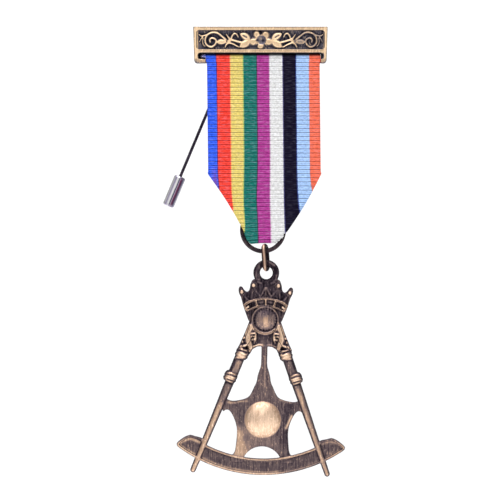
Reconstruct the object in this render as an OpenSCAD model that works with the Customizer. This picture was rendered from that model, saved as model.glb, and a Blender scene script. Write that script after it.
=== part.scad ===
// A pin-back jewel: an ornamental brooch bar, a striped ribbon folded to a point, a ring and a link,
// and a cast jewel of compasses under a crown, with a five-pointed star standing on a sector arc.
// Front is -Y and up is +Z. The origin is the middle of the bar panel's back face.

/* [Brooch bar] */
// Height of the ornamental panel
bar_h = 7.4; // [6:0.1:9]
// Thickness of the bar from front to back
bar_t = 3.4; // [3.4:0.1:5]
// Width of the raised rim above and below the recess
bar_rim = 1.0; // [0.6:0.05:1.4]
// Width of the raised rim at each end of the recess
bar_end_rim = 0.9; // [0.6:0.05:1.4]
// Depth of the recess round the relief
recess_depth = 0.8; // [0.4:0.05:1.2]
// Corner radius of the recess
recess_corner = 0.8; // [0.3:0.05:1.5]
// Height of the relief above the recess floor
relief_h = 0.6; // [0.3:0.05:1]
// Height of the slot that the ribbon passes through
slot_h = 1.8; // [1.6:0.05:2.6]
// Room in the slot beside each edge of the ribbon
slot_side = 1.8; // [1.4:0.05:2.4]
// Thickness of the wall that closes the slot's back beside the ribbon
slot_back = 0.6; // [0.4:0.05:1]
// Width of the cheek at each end of the slot
cheek_w = 1.3; // [1:0.05:1.8]
// Room between each edge of the ribbon and the lug turned in beside it
lug_room = 0.4; // [0.3:0.05:0.6]
// Height of the rail that carries the ribbon
rail_h = 1.1; // [1:0.05:2]
// Thickness of the rail from front to back
rail_t = 1.3; // [1:0.05:1.5]
// Radius of the bar's lower corners
lug_corner = 0.9; // [0.4:0.05:1.2]
// Distance that each end of the bar leans in at its foot
bar_taper = 0.3; // [0:0.05:0.5]

/* [Ribbon] */
// Width of the ribbon
ribbon_w = 32; // [28:0.5:36]
// Thickness of one layer of the ribbon
ribbon_t = 1.0; // [0.8:0.05:1.2]
// Length of the ribbon's straight sides below the rail
ribbon_side = 30.95; // [22:0.05:40]
// Height of the folded point below the sides
point_h = 20.2; // [16:0.1:24]
// Width of the point's blunt end
point_w = 7.3; // [6:0.1:10]
// Distance of the ribbon's middle to the right of the bar's middle
ribbon_shift = 0.8; // [0:0.1:0.8]
// Lean of the hanging ribbon to the right, in degrees
ribbon_lean = 0.6; // [0:0.1:1]
// Width of the stitched seam along the folded edges
seam_w = 1.0; // [0.6:0.1:1.6]
// Clearance between the ribbon and the metal that it holds
ribbon_gap = 0.05; // [0.03:0.01:0.1]

/* [Ring and link] */
// Outside diameter of the ring
ring_d = 13.1; // [12:0.1:15]
// Thickness of the ring's wire
ring_wire = 1.25; // [1:0.05:1.3]
// Distance of the ring's middle to the left of the point's middle
ring_shift = 0.6; // [0:0.1:1]
// Thickness of the link's wire
link_wire = 1.3; // [1:0.05:1.4]
// Distance between the wires that the link joins, middle to middle
link_reach = 5.15; // [4.6:0.05:8]
// Lean of the hanging link to the right, in degrees
link_lean = 4; // [0:0.5:6]
// Turn of the link about its own length, front wire to the left, in degrees
link_turn = 18; // [0:1:20]
// Clearance round the ring's wire and the link's wire
wire_gap = 0.12; // [0.08:0.01:0.2]
// Clearance between the ribbon's point and the link
link_clear = 0.25; // [0.2:0.05:0.5]

/* [Jewel, eye and crown] */
// Outside diameter of the suspension eye
eye_d = 7.4; // [6.6:0.1:9]
// Diameter of the hole in the eye
eye_hole_d = 3.6; // [3.2:0.1:4.2]
// Tilt of the hanging jewel, bottom to the left, in degrees
jewel_tilt = 1.35; // [0:0.05:3]
// Thickness of the jewel's plate
plate_t = 1.5; // [1.2:0.1:2]
// Width of the crown across its outer points
crown_w = 15.5; // [12:0.1:18]
// Height of the crown from its outer points to the waist
crown_h = 9.25; // [8:0.05:11]
// Distance from the eye's middle down to the crown's outer points
crown_drop = 4.4; // [3.6:0.1:5]
// Radius of the headband's upper edge
band_r = 9.75; // [8:0.05:12]
// Width of the headband
band_w = 2.0; // [1.4:0.1:2.6]
// Height of the crown's relief above the plate
crown_relief = 0.7; // [0.4:0.05:1]
// Distance from the eye's middle down to the head disc's middle
disc_drop = 13.3; // [12.4:0.1:15]
// Diameter of the head disc
disc_d = 7.9; // [7:0.1:9]
// Diameter of the small dome on the head disc
bead_d = 6.0; // [5:0.1:6.6]
// Height of the head disc above the plate
disc_relief = 0.9; // [0.5:0.05:1.3]
// Height of the small dome above the head disc's floor
bead_h = 1.1; // [0.6:0.05:1.6]

/* [Jewel, compass legs] */
// Angle of each leg from the upright, in degrees
leg_angle = 20.75; // [19:0.25:22]
// Turn of the pair of legs to the left, in degrees
leg_turn = 0.5; // [0:0.1:0.8]
// Distance from the eye's middle down to the point where the legs' axes meet
leg_apex = 6.3; // [5:0.1:8]
// Length of a leg from that point to its tip
leg_length = 54.6; // [52:0.1:58]
// Width of the leg below its lower knuckle
leg_w = 2.65; // [2.2:0.05:3]
// Width of the leg at its tip
leg_tip_w = 1.55; // [1.2:0.05:1.9]
// Width of the shank between the knuckles
shank_w = 2.9; // [2.4:0.05:3.2]
// Width of a knuckle
knuckle_w = 3.85; // [3.4:0.05:4.4]
// Length of a knuckle along the leg
knuckle_h = 3.0; // [2.4:0.1:3.6]
// Distance from the axes' meeting point to the upper knuckle's middle
knuckle_upper = 17.9; // [17:0.1:19]
// Distance from the axes' meeting point to the lower knuckle's middle
knuckle_lower = 25.3; // [24:0.1:27]
// Distance from the eye's middle down to the arch between the legs
arch_drop = 20.9; // [20:0.1:23]

/* [Jewel, star and sector] */
// Width of the star across its side points
star_w = 21.6; // [20:0.1:23]
// Height of the star from the arch to its feet
star_h = 32; // [30:0.1:34]
// Thickness of the star
star_t = 1.3; // [1:0.05:1.8]
// Diameter of the dome in the star's middle
dome_d = 10.4; // [8:0.1:11]
// Height of the dome above the star
dome_h = 1.7; // [1:0.05:2.4]
// Distance from the eye's middle down to the dome's middle
dome_drop = 41.8; // [40:0.1:43]
// Radius of the sector's lower edge
sector_r = 40.8; // [38:0.1:44]
// Distance from the eye's middle down to the sector's lowest point
sector_drop = 57.5; // [56:0.1:59]
// Width of the sector's band
sector_w = 4.65; // [4:0.05:5.4]
// Angle from the sector's middle to each of its pointed ends, in degrees
sector_half = 36.5; // [34:0.1:39]
// Distance of the sector's middle to the left of the crown's middle
sector_shift = 0.4; // [0:0.05:0.6]
// Thickness of the sector's floor
sector_t = 1.1; // [0.8:0.05:1.6]
// Height of the sector's rim above its floor
sector_rim_h = 0.6; // [0.3:0.05:1]
// Width of the sector's rim
sector_rim = 0.6; // [0.4:0.05:1]

/* [Needle and clutch] */
// Thickness of the needle
needle_d = 0.85; // [0.7:0.05:1]
// Angle of the needle from the upright, in degrees
needle_angle = 22.7; // [20:0.1:25]
// Distance of the needle's root to the left of the bar's middle
needle_x = 7.2; // [5:0.1:9]
// Distance of the needle's axis behind the bar
needle_back = 0.9; // [0.8:0.05:1.4]
// Length of the needle from its root to the clutch
needle_free = 40.5; // [36:0.1:46]
// Diameter of the clutch
clutch_d = 3.3; // [2.6:0.05:3.6]
// Length of the clutch
clutch_len = 9.1; // [8:0.1:11]
// Rounding of the clutch's ends
clutch_round = 0.6; // [0.3:0.05:0.8]
// Depth of the clutch's bore
bore_depth = 7.3; // [6:0.1:7.5]
// Clearance round the needle in the clutch and in its socket
needle_gap = 0.05; // [0.03:0.01:0.1]

/* [Hidden] */
$fn = 48;

// Finishes, as red, green and blue
brass = [0.72, 0.58, 0.38];
bronze = [0.50, 0.40, 0.36];
cloth = [0.20, 0.40, 0.75];
steel = [0.25, 0.23, 0.28];
nickel = [0.78, 0.78, 0.82];

// The plane halfway through the bar, in which everything hangs
mid_y = -bar_t / 2;

// Bar
slot_w = ribbon_w + 2 * slot_side;
bar_w = slot_w + 2 * cheek_w;
rail_left = ribbon_shift - ribbon_w / 2 - lug_room;
rail_w = ribbon_w + 2 * lug_room;
recess_w = bar_w - 2 * bar_end_rim;
recess_h = bar_h - 2 * bar_rim;
slot_top = -bar_h / 2;
rail_top = slot_top - slot_h;
rail_bottom = rail_top - rail_h;
socket_d = 2 * needle_back + 0.2;
socket_above = 0.55 * socket_d;
socket_below = 1.1 * socket_d;
flower_r = 0.445 * recess_h;
line_w = 0.11 * recess_h;
cut = 0.01;

// Ribbon
hang_gap = rail_t / 2 + ribbon_gap;
corner_z = rail_bottom - ribbon_side;
point_z = corner_z - point_h;
loop_z = rail_top - rail_t / 2;
function lean_x(z) = ribbon_shift + (loop_z - z) * tan(ribbon_lean);

// Ring and link
ring_r = (ring_d - ring_wire) / 2;
ring_x = lean_x(point_z) - ring_shift;
ring_z = point_z - link_clear - link_wire - wire_gap - ring_wire / 2 + ring_r;
link_wrap = ring_wire / 2 + wire_gap + link_wire / 2;
link_r = link_wrap / cos(link_turn);
link_top = [ring_x + ring_shift, mid_y, ring_z - sqrt(ring_r * ring_r - ring_shift * ring_shift)];
link_bottom = link_top + link_reach * [sin(link_lean), 0, -cos(link_lean)];

// Jewel: its own frame has the eye's middle at the origin, and depth counts forward from its flat back
eye_t = 2 * (link_wrap - link_wire / 2 - wire_gap) - 0.05;
eye_sit = eye_hole_d / 2 - wire_gap - link_wire / 2;
eye_place = link_bottom - eye_sit * [sin(jewel_tilt), 0, cos(jewel_tilt)];
back_y = plate_t / 2;
waist_z = -crown_drop - crown_h;
sector_z = sector_r - sector_drop;
leg_depth = plate_t / 1.5;
deep = 4 * plate_t;
band_z = -crown_drop - 0.31 * crown_h - band_r;
band_half = 38;
band_rim = 0.15 * band_w;

// Needle and clutch
needle_root = [-needle_x, needle_back, -0.19 * bar_h];
needle_grip = bore_depth - 0.3;
needle_tip_h = 1.4 * needle_d;

// Crown outline on the right: share of the half width, share of the height below the outer points
CROWN = [[0.29, -0.28], [0.48, -0.26], [0.57, -0.11], [0.605, 0.06], [0.69, 0.12], [0.79, 0.07],
    [0.875, -0.03], [0.97, -0.03], [1.00, 0.06], [0.98, 0.17], [0.895, 0.32], [0.82, 0.55], [0.71, 0.80],
    [0.615, 1.00]];

// Crown points: share of the half width at the tip, share of the height at the tip, half width at the
// foot as a share of the crown's width
CROWN_POINTS = [[0, 0.00, 0.085], [0.45, 0.00, 0.085], [0.83, 0.19, 0.072]];

// Balls on the crown's outer and inner points: share of the half width, share of the height, radius as
// a share of the crown's width
CROWN_BALLS = [[0.88, 0.13, 0.043], [0.46, -0.08, 0.048]];

// Angles of the headband's dividers on the right, and of the stone near its end
DIVIDERS = [17, 38];
STONE = 33;

// Shoulder outline on the right, from the waist to the upper knuckle and back along the arch:
// share of the knuckles' spread, share of the height from the waist to the knuckle
SHOULDER = [[0.56, -0.10], [0.55, 0.04], [0.68, 0.35], [0.86, 0.73], [0.95, 0.88], [0.90, 1.00],
    [0.50, 1.02], [0.41, 0.87], [0.26, 0.79], [0, 0.77]];

// Leaves carved on each shoulder, and their widths as shares of the knuckles' spread
SHOULDER_LEAVES = [[[0.45, 0.00], [0.50, 0.40], [0.82, 0.98]], [[0.34, 0.30], [0.31, 0.50], [0.40, 0.72]]];
SHOULDER_LEAF_W = [0.23, 0.12];

// Star outline on the right: share of the half width, share of the height below the arch
STAR = [[0.080, -0.01], [0.080, 0.16], [0.115, 0.21], [0.160, 0.26], [0.190, 0.32], [0.250, 0.365],
    [0.316, 0.415], [0.400, 0.455], [0.560, 0.478], [0.745, 0.490], [0.870, 0.488], [1.000, 0.470]];
STAR_LOWER = [[1.060, 0.590], [0.960, 0.570], [0.870, 0.583], [0.780, 0.630], [0.700, 0.700],
    [0.672, 0.770], [0.690, 0.870], [0.720, 0.940], [0.800, 0.985], [0.800, 1.030]];

// Sector ends: share of the half angle, share of the band's width in from the lower edge
SECTOR_END = [[0.70, 1.00], [0.76, 1.18], [0.80, 1.24], [0.875, 1.12], [0.930, 1.03], [0.968, 0.76],
    [0.990, 0.45], [1.00, 0.12], [0.97, 0.01]];

// Relief of the bar's right half, as shares of the half width and half height of the recess
SCROLL = [[0.50, 0.10], [0.60, 0.50], [0.70, 0.75], [0.78, 0.76], [0.84, 0.50], [0.87, 0.12],
    [0.86, -0.36], [0.82, -0.70], [0.76, -0.76], [0.71, -0.36], [0.69, -0.08], [0.73, 0.18],
    [0.78, 0.14], [0.80, -0.10]];
HOOK = [[0.50, -0.05], [0.46, 0.25], [0.44, 0.55], [0.40, 0.64], [0.36, 0.40]];
SPRIGS = [
    [[0.50, -0.02], [0.52, 0.30], [0.545, 0.66]],
    [[0.48, -0.10], [0.52, -0.45], [0.55, -0.80]],
    [[0.48, -0.20], [0.42, -0.48], [0.35, -0.70]],
    [[0.84, 0.52], [0.91, 0.42], [0.97, 0.64]],
    [[0.87, 0.20], [0.92, 0.12], [0.96, -0.34]],
    [[0.92, -0.10], [0.90, -0.45], [0.86, -0.76]]];
LEAVES = [
    [[0.17, -0.05], [0.25, 0.20], [0.32, 0.66]],
    [[0.16, -0.22], [0.25, -0.52], [0.33, -0.84]],
    [[0.22, -0.20], [0.34, -0.25], [0.48, -0.08]],
    [[0.53, -0.22], [0.61, -0.18], [0.70, -0.30]]];

// Widths of these leaves as shares of the recess's height
LEAF_W = [0.28, 0.24, 0.17, 0.20];

// A value between two others
function mix(a, b, t) = a + (b - a) * t;

// A point on the smooth curve from b to c, with a before and d after them
function curve_point(a, b, c, d, t) =
    b + (c - a) * t / 2 + (2 * a - 5 * b + 4 * c - d) * t * t / 2 + (3 * b - a - 3 * c + d) * t * t * t / 2;

// A smooth curve through a few points
function curve(p, steps) = concat(
    [for (i = [0:len(p) - 2], s = [0:steps - 1])
        curve_point(p[max(i - 1, 0)], p[i], p[i + 1], p[min(i + 2, len(p) - 1)], s / steps)],
    [p[len(p) - 1]]);

// A table's rows times a width and a height
function sized(table, w, h) = [for (row = table) [row[0] * w, row[1] * h]];

// The left-hand twin of an outline's right half, in the order that closes it
function mirrored(p) = [for (i = [len(p) - 1:-1:0]) [-p[i][0], p[i][1]]];

// The point beside a path's point i, at a distance to its left
function beside(path, i, distance) =
    let (a = path[max(i - 1, 0)], b = path[min(i + 1, len(path) - 1)], d = (b - a) / norm(b - a))
    path[i] + distance * [-d[1], d[0]];

// Points on an arc round [0, 0], with angles counted from straight down towards the right
function down_arc(r, from, to, steps) = [for (i = [0:steps])
    let (a = mix(from, to, i / steps)) [r * sin(a), -r * cos(a)]];

// A rectangle with round corners
module soft_rect(w, h, r) {
    square([w - 2 * r, h], center = true);
    square([w, h - 2 * r], center = true);
    for (x = [-1, 1], y = [-1, 1])
        translate([x * (w / 2 - r), y * (h / 2 - r)]) circle(r);
}

// A stroke along a smooth path, from one width to another, with a round start
module stroke(points, w_start, w_end, steps = 3) {
    path = curve(points, steps);
    last = len(path) - 1;
    polygon(concat(
        [for (i = [0:last]) beside(path, i, mix(w_start, w_end, i / last) / 2)],
        [for (i = [last:-1:0]) beside(path, i, -mix(w_start, w_end, i / last) / 2)]));
    translate(path[0]) circle(0.56 * w_start);
}

// A leaf along a smooth path, widest at its middle and pointed at both ends
module leaf(points, width, steps = 3) {
    path = curve(points, steps);
    last = len(path) - 1;
    polygon(concat(
        [for (i = [0:last]) beside(path, i, width / 2 * sin(180 * i / last))],
        [for (i = [last - 1:-1:1]) beside(path, i, -width / 2 * sin(180 * i / last))]));
}

// A flat outline in X and Z made solid between two depths, counted forward from Y = 0
module slab(from, to) {
    translate([0, -from, 0]) rotate([90, 0, 0]) linear_extrude(to - from) children();
}

// Turns and places what is built along -Z from the origin so that it follows the needle
module along_needle() {
    translate(needle_root) rotate([0, needle_angle, 0]) children();
}

module relief_half() {
    u = recess_w / 2;
    v = recess_h / 2;
    stroke(sized(SCROLL, u, v), 1.25 * line_w, 0.7 * line_w);
    stroke(sized(HOOK, u, v), line_w, 0.8 * line_w);
    for (sprig = SPRIGS) stroke(sized(sprig, u, v), line_w, 0.35 * line_w);
    for (i = [0:len(LEAVES) - 1]) leaf(sized(LEAVES[i], u, v), LEAF_W[i] * recess_h);
}

module flower() {
    for (a = [0:72:288]) rotate(a - 90) translate([0.6 * flower_r, 0]) circle(0.4 * flower_r);
    circle(0.58 * flower_r);
}

module bar_outline() {
    corner = [bar_w / 2 - bar_taper - lug_corner, rail_bottom + lug_corner];
    right = concat([[bar_w / 2, bar_h / 2]], [for (p = down_arc(lug_corner, 90, 0, 8)) corner + p]);
    polygon(concat(right, mirrored(right)));
}

// The rail, flat below and round on top
module rail() {
    translate([rail_left - cut, mid_y, 0]) rotate([90, 0, 90]) linear_extrude(rail_w + 2 * cut)
        intersection() {
            union() {
                translate([0, loop_z]) circle(rail_t / 2);
                translate([-rail_t / 2, rail_bottom]) square([rail_t, loop_z - rail_bottom]);
            }
            translate([-rail_t / 2, rail_bottom]) square([rail_t, rail_h]);
        }
}

module socket() {
    along_needle() translate([0, 0, -socket_below]) cylinder(h = socket_above + socket_below, d = socket_d);
}

// The opening below the panel, as wide as the rail, that the ribbon passes through
module ribbon_way(height) {
    translate([rail_left, rail_bottom - 1]) square([rail_w, 1 + rail_h + height]);
}

module bar() color(brass) difference() {
    union() {
        slab(0, bar_t) difference() {
            bar_outline();
            translate([0, slot_top - slot_h / 2]) soft_rect(slot_w, slot_h, slot_h * 0.4);
            ribbon_way(slot_h / 2);
        }
        slab(0, slot_back) difference() {
            translate([0, slot_top - slot_h / 2])
                square([slot_w + cheek_w / 2, slot_h + rail_h / 2], center = true);
            ribbon_way(slot_h);
        }
        rail();
        socket();
        slab(bar_t - recess_depth - cut, bar_t - recess_depth + relief_h) {
            relief_half();
            mirror([1, 0]) relief_half();
            flower();
        }
    }
    slab(bar_t - recess_depth, bar_t + 1) difference() {
        soft_rect(recess_w, recess_h, recess_corner);
        relief_half();
        mirror([1, 0]) relief_half();
        flower();
    }
    slab(bar_t - recess_depth + relief_h, bar_t + 1) soft_rect(recess_w - cut, recess_h - cut, recess_corner);
    slab(bar_t - recess_depth, bar_t + 1) circle(0.23 * flower_r);
    along_needle() translate([0, 0, -socket_below - 1])
        cylinder(h = socket_above + socket_below, d = needle_d + 2 * needle_gap);
}

module ribbon_outline() {
    tip_x = lean_x(point_z);
    side_x = lean_x(corner_z);
    polygon([
        [ribbon_shift - ribbon_w / 2, loop_z], [side_x - ribbon_w / 2, corner_z],
        [tip_x - point_w / 2, point_z], [tip_x + point_w / 2, point_z],
        [side_x + ribbon_w / 2, corner_z], [ribbon_shift + ribbon_w / 2, loop_z]]);
}

// The two corners that are folded in behind the front layer, and the seams along the folds
module ribbon_flaps() {
    tip_x = lean_x(point_z);
    side_x = lean_x(corner_z);
    for (s = [-1, 1]) {
        corner = [side_x + s * ribbon_w / 2, corner_z];
        end = [tip_x + s * point_w / 2, point_z];
        fold = (end - corner) / norm(end - corner);
        loose = [corner[0], point_z] - corner;
        foot = fold * (loose * fold);
        polygon([corner, corner + 2 * foot - loose, end]);
    }
}

module ribbon_seam() {
    tip_x = lean_x(point_z);
    side_x = lean_x(corner_z);
    for (s = [-1, 1]) {
        corner = [side_x + s * ribbon_w / 2, corner_z];
        end = [tip_x + s * point_w / 2, point_z];
        fold = (end - corner) / norm(end - corner);
        inward = seam_w * [-s * abs(fold[1]), s * fold[0] * sign(fold[1])];
        polygon([corner, corner + inward, end + inward, end]);
    }
    translate([tip_x - point_w / 2, point_z]) square([point_w, seam_w]);
}

module ribbon() color(cloth) {
    outer = hang_gap + ribbon_t;
    flap_t = 2 * hang_gap - 0.4;
    difference() {
        union() {
            for (y = [-outer, hang_gap])
                translate([0, mid_y + y + ribbon_t, 0]) slab(0, ribbon_t) ribbon_outline();
            translate([ribbon_shift - ribbon_w / 2, mid_y, loop_z]) rotate([0, 90, 0])
                cylinder(h = ribbon_w, r = outer);
            translate([0, mid_y + flap_t / 2, 0]) slab(0, flap_t) ribbon_flaps();
            translate([0, mid_y + outer, 0]) slab(0, 2 * outer)
                intersection() {
                    ribbon_seam();
                    ribbon_outline();
                }
        }
        translate([-bar_w / 2, mid_y, loop_z]) rotate([0, 90, 0]) cylinder(h = bar_w, r = hang_gap);
        translate([-bar_w / 2, mid_y - hang_gap, loop_z - outer]) cube([bar_w, 2 * hang_gap, outer]);
        translate([ring_x, mid_y, ring_z]) rotate([90, 0, 0]) rotate_extrude()
            translate([ring_r, 0]) circle(ring_wire / 2 + ribbon_gap);
    }
}

module ring() color(bronze) {
    translate([ring_x, mid_y, ring_z]) rotate([90, 0, 0]) rotate_extrude()
        translate([ring_r, 0]) circle(ring_wire / 2);
}

module link() color(bronze) {
    straight = link_reach - link_r;
    translate(link_top) rotate([0, -link_lean, 0]) rotate([0, 0, -link_turn]) {
        rotate([0, 90, 0]) rotate([0, 0, 90]) rotate_extrude(angle = 180)
            translate([link_r, 0]) circle(link_wire / 2);
        translate([0, 0, -straight]) rotate([0, 90, 0]) rotate([0, 0, -90]) rotate_extrude(angle = 180)
            translate([link_r, 0]) circle(link_wire / 2);
        for (y = [-link_r, link_r])
            translate([0, y, -straight]) cylinder(h = straight, d = link_wire);
    }
}

// Everything on the jewel that is given by an outline and two depths
module cast(from, to) {
    translate([0, back_y, 0]) slab(from, to) children();
}

// The jewel's suspension eye, round in section so that the link turns in it
module eye() {
    rotate([90, 0, 0]) rotate_extrude() {
        inner = eye_hole_d / 2 + eye_t / 2;
        outer = eye_d / 2 - eye_t / 2;
        translate([inner, 0]) circle(eye_t / 2);
        translate([outer, 0]) circle(eye_t / 2);
        translate([inner, -eye_t / 2]) square([outer - inner, eye_t]);
    }
}

module crown_outline() {
    right = [for (p = curve(CROWN, 3)) [p[0] * crown_w / 2, -crown_drop - p[1] * crown_h]];
    difference() {
        polygon(concat(right, mirrored(right)));
        circle(eye_hole_d / 2 + eye_t / 2);
    }
}

module crown() {
    cast(0, plate_t) crown_outline();
    for (row = CROWN_POINTS, s = [-1, 1]) if (row[0] > 0 || s > 0) crown_point(s, row);
    for (row = CROWN_BALLS, s = [-1, 1])
        translate([s * row[0] * crown_w / 2, back_y - plate_t, -crown_drop - row[1] * crown_h])
            sphere(row[2] * crown_w);
    cast(plate_t - cut, plate_t + crown_relief) translate([0, band_z]) headband();
    cast(plate_t - cut, plate_t + crown_relief / 3) translate([0, band_z]) band_piece(band_r, band_w);
}

// A stretch of the headband from its outer radius inwards
module band_piece(r, width) {
    polygon(concat(
        down_arc(r, 180 - band_half, 180 + band_half, 16),
        down_arc(r - width, 180 + band_half, 180 - band_half, 16)));
}

// One crown point: a low pyramid with its foot on the headband
module crown_point(s, row) {
    tip = [s * row[0] * crown_w / 2, -crown_drop - row[1] * crown_h];
    toward = tip - [0, band_z];
    foot = [0, band_z] + band_r * toward / norm(toward);
    across = row[2] * crown_w * [-toward[1], toward[0]] / norm(toward);
    y = back_y - plate_t + cut;
    corners = [tip, foot + across, foot - across, (tip + 2 * foot) / 3];
    polyhedron(
        points = [for (i = [0:3]) [corners[i][0], i == 3 ? y - crown_relief : y, corners[i][1]]],
        faces = [[0, 1, 2], [0, 3, 1], [1, 3, 2], [2, 3, 0]]);
}

// The headband's raised rims, its dividers and the stone near each end
module headband() {
    middle_r = band_r - band_w / 2;
    for (r = [band_r, band_r - band_w + band_rim]) band_piece(r, band_rim);
    translate([0, middle_r]) square([0.3 * band_w, band_w], center = true);
    for (s = [-1, 1]) {
        for (a = DIVIDERS) rotate(s * a) translate([0, middle_r])
            square([0.2 * band_w, band_w], center = true);
        rotate(s * STONE) translate([0, middle_r]) circle(0.22 * band_w);
    }
}

module head_disc() {
    floor_h = plate_t + disc_relief * 0.4;
    rim = 0.63 * (disc_d - bead_d) / 2;
    bead_r = (bead_d * bead_d / 4 + bead_h * bead_h) / (2 * bead_h);
    translate([0, back_y, -disc_drop]) rotate([90, 0, 0]) {
        cylinder(h = floor_h, d = disc_d);
        rotate_extrude() translate([disc_d / 2 - rim / 2, floor_h]) circle(rim / 2);
        for (a = [0:15:345]) rotate(a) translate([bead_d / 2, 0, floor_h]) sphere(bead_d / 20);
        intersection() {
            translate([0, 0, floor_h + bead_h - bead_r]) sphere(bead_r);
            cylinder(h = floor_h + bead_h + 1, d = bead_d);
        }
    }
}

module shoulders() {
    spread = knuckle_upper * sin(leg_angle) + 0.5 * knuckle_w;
    height = leg_apex + knuckle_upper * cos(leg_angle) + waist_z;
    right = [for (p = SHOULDER) [p[0] * spread, waist_z - p[1] * height]];
    cast(0, plate_t) polygon(concat(right, mirrored(right)));
    cast(plate_t - cut, plate_t + crown_relief) for (s = [-1, 1], i = [0:len(SHOULDER_LEAVES) - 1])
        leaf([for (p = SHOULDER_LEAVES[i]) [s * p[0] * spread, waist_z - p[1] * height]],
            SHOULDER_LEAF_W[i] * spread);
}

// A knuckle turned round the leg's axis, with two grooves, and offset by a share of its width
module knuckle(offset) {
    r = knuckle_w / 2;
    h = knuckle_h / 2;
    groove = 0.06 * r;
    translate([offset * knuckle_w, back_y - leg_depth, 0]) rotate_extrude() polygon([
        [0, -h], [r * 0.78, -h], [r, -h * 0.55], [r, -h * 0.3], [r - groove, -h * 0.25],
        [r - groove, -h * 0.1], [r, 0], [r, h * 0.45], [r - groove, h * 0.5],
        [r - groove, h * 0.65], [r * 0.78, h], [0, h]]);
}

module leg_solid() {
    tip = leg_length - leg_tip_w / 2;
    blade = tip - knuckle_lower;
    cast(0, leg_depth) {
        polygon([[-leg_w / 2, -knuckle_lower], [leg_w / 2, -knuckle_lower],
            [leg_tip_w / 2, -tip], [-leg_tip_w / 2, -tip]]);
        translate([0, -tip]) circle(leg_tip_w / 2);
        translate([-shank_w / 2, -knuckle_lower]) square([shank_w, knuckle_lower - knuckle_upper]);
    }
    translate([0, back_y - leg_depth, -tip]) {
        cylinder(h = blade, d1 = leg_tip_w, d2 = leg_w);
        sphere(leg_tip_w / 2);
    }
    translate([0, back_y - leg_depth, -knuckle_lower])
        cylinder(h = knuckle_lower - knuckle_upper, d = shank_w);
    translate([0, 0, -knuckle_upper]) knuckle(-0.05);
    translate([0, 0, -knuckle_lower]) knuckle(0.09);
}

// The right-hand leg at an angle, cut off flat at the jewel's back
module leg(angle) {
    intersection() {
        translate([0, 0, -leg_apex]) rotate([0, -angle, 0]) leg_solid();
        translate([0, back_y - deep / 2, -leg_length])
            cube([2 * sector_r, deep, 2 * leg_length], center = true);
    }
}

module star() {
    foot_arc = 0.27 * star_w;
    lens_z = -arch_drop - 0.89 * star_h - foot_arc;
    right = [for (p = concat(curve(STAR, 3), curve(STAR_LOWER, 3)))
        [p[0] * star_w / 2, -arch_drop - p[1] * star_h]];
    dome_r = (dome_d * dome_d / 4 + dome_h * dome_h) / (2 * dome_h);
    cast(0, star_t) difference() {
        polygon(concat(right, mirrored(right)));
        translate([0, lens_z]) circle(foot_arc);
    }
    translate([0, back_y - star_t - dome_h + dome_r, -dome_drop]) intersection() {
        sphere(dome_r, $fn = 96);
        translate([0, -dome_r - cut, 0]) rotate([-90, 0, 0])
            cylinder(h = dome_h + cut + star_t / 2, d = dome_d);
    }
}

module sector_outline() {
    ends = [for (row = curve(SECTOR_END, 2))
        let (r = sector_r - row[1] * sector_w, a = row[0] * sector_half) [r * sin(a), -r * cos(a)]];
    right = concat(
        down_arc(sector_r - sector_w, 0, 0.65 * sector_half, 10),
        ends,
        down_arc(sector_r, 0.94 * sector_half, 0, 16));
    polygon(concat(right, mirrored([for (i = [1:len(right) - 2]) right[i]])));
}

module sector() {
    translate([-sector_shift, 0, sector_z]) {
        cast(0, sector_t) sector_outline();
        cast(0, sector_t + sector_rim_h) difference() {
            sector_outline();
            offset(delta = -sector_rim) sector_outline();
        }
    }
}

module jewel() color(bronze) translate(eye_place) rotate([0, jewel_tilt, 0]) {
    eye();
    crown();
    head_disc();
    shoulders();
    leg(leg_angle - leg_turn);
    mirror([1, 0, 0]) leg(leg_angle + leg_turn);
    star();
    sector();
}

module needle() color(steel) along_needle() {
    length = needle_free + needle_grip - needle_tip_h;
    translate([0, 0, -length]) cylinder(h = length - needle_gap, d = needle_d);
    translate([0, 0, -length - needle_tip_h]) cylinder(h = needle_tip_h, d1 = needle_d / 6, d2 = needle_d);
}

module clutch() color(nickel) along_needle() translate([0, 0, -needle_free - clutch_len]) {
    r = clutch_d / 2;
    c = clutch_round;
    difference() {
        rotate_extrude() {
            translate([r - c, c]) circle(c);
            translate([r - c, clutch_len - c]) circle(c);
            translate([0, c]) square([r, clutch_len - 2 * c]);
            square([r - c, clutch_len]);
        }
        translate([0, 0, clutch_len - bore_depth])
            cylinder(h = bore_depth + cut, d = needle_d + 2 * needle_gap);
    }
}

bar();
ribbon();
ring();
link();
jewel();
needle();
clutch();
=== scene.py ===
"""Dresses a pin-back jewel: brooch bar, striped ribbon, ring and link, and a cast drop of compasses."""

import logging
import math
from dataclasses import dataclass, field
from enum import Enum

import bmesh
import bpy
import numpy as np
from mathutils import Matrix, Vector


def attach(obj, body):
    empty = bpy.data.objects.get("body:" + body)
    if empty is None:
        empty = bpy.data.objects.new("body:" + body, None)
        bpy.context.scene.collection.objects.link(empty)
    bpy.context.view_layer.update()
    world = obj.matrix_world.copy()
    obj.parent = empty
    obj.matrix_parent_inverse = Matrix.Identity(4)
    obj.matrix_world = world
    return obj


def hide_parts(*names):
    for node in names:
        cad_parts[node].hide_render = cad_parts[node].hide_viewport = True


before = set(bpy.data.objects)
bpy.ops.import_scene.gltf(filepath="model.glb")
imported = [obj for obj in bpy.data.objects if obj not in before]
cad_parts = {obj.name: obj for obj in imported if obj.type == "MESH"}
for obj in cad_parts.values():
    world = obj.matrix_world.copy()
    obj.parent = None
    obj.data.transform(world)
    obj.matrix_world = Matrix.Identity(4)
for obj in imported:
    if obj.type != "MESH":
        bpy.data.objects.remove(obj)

logging.basicConfig(level=logging.INFO, format="%(message)s")
LOG = logging.getLogger("jewel")

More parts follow.
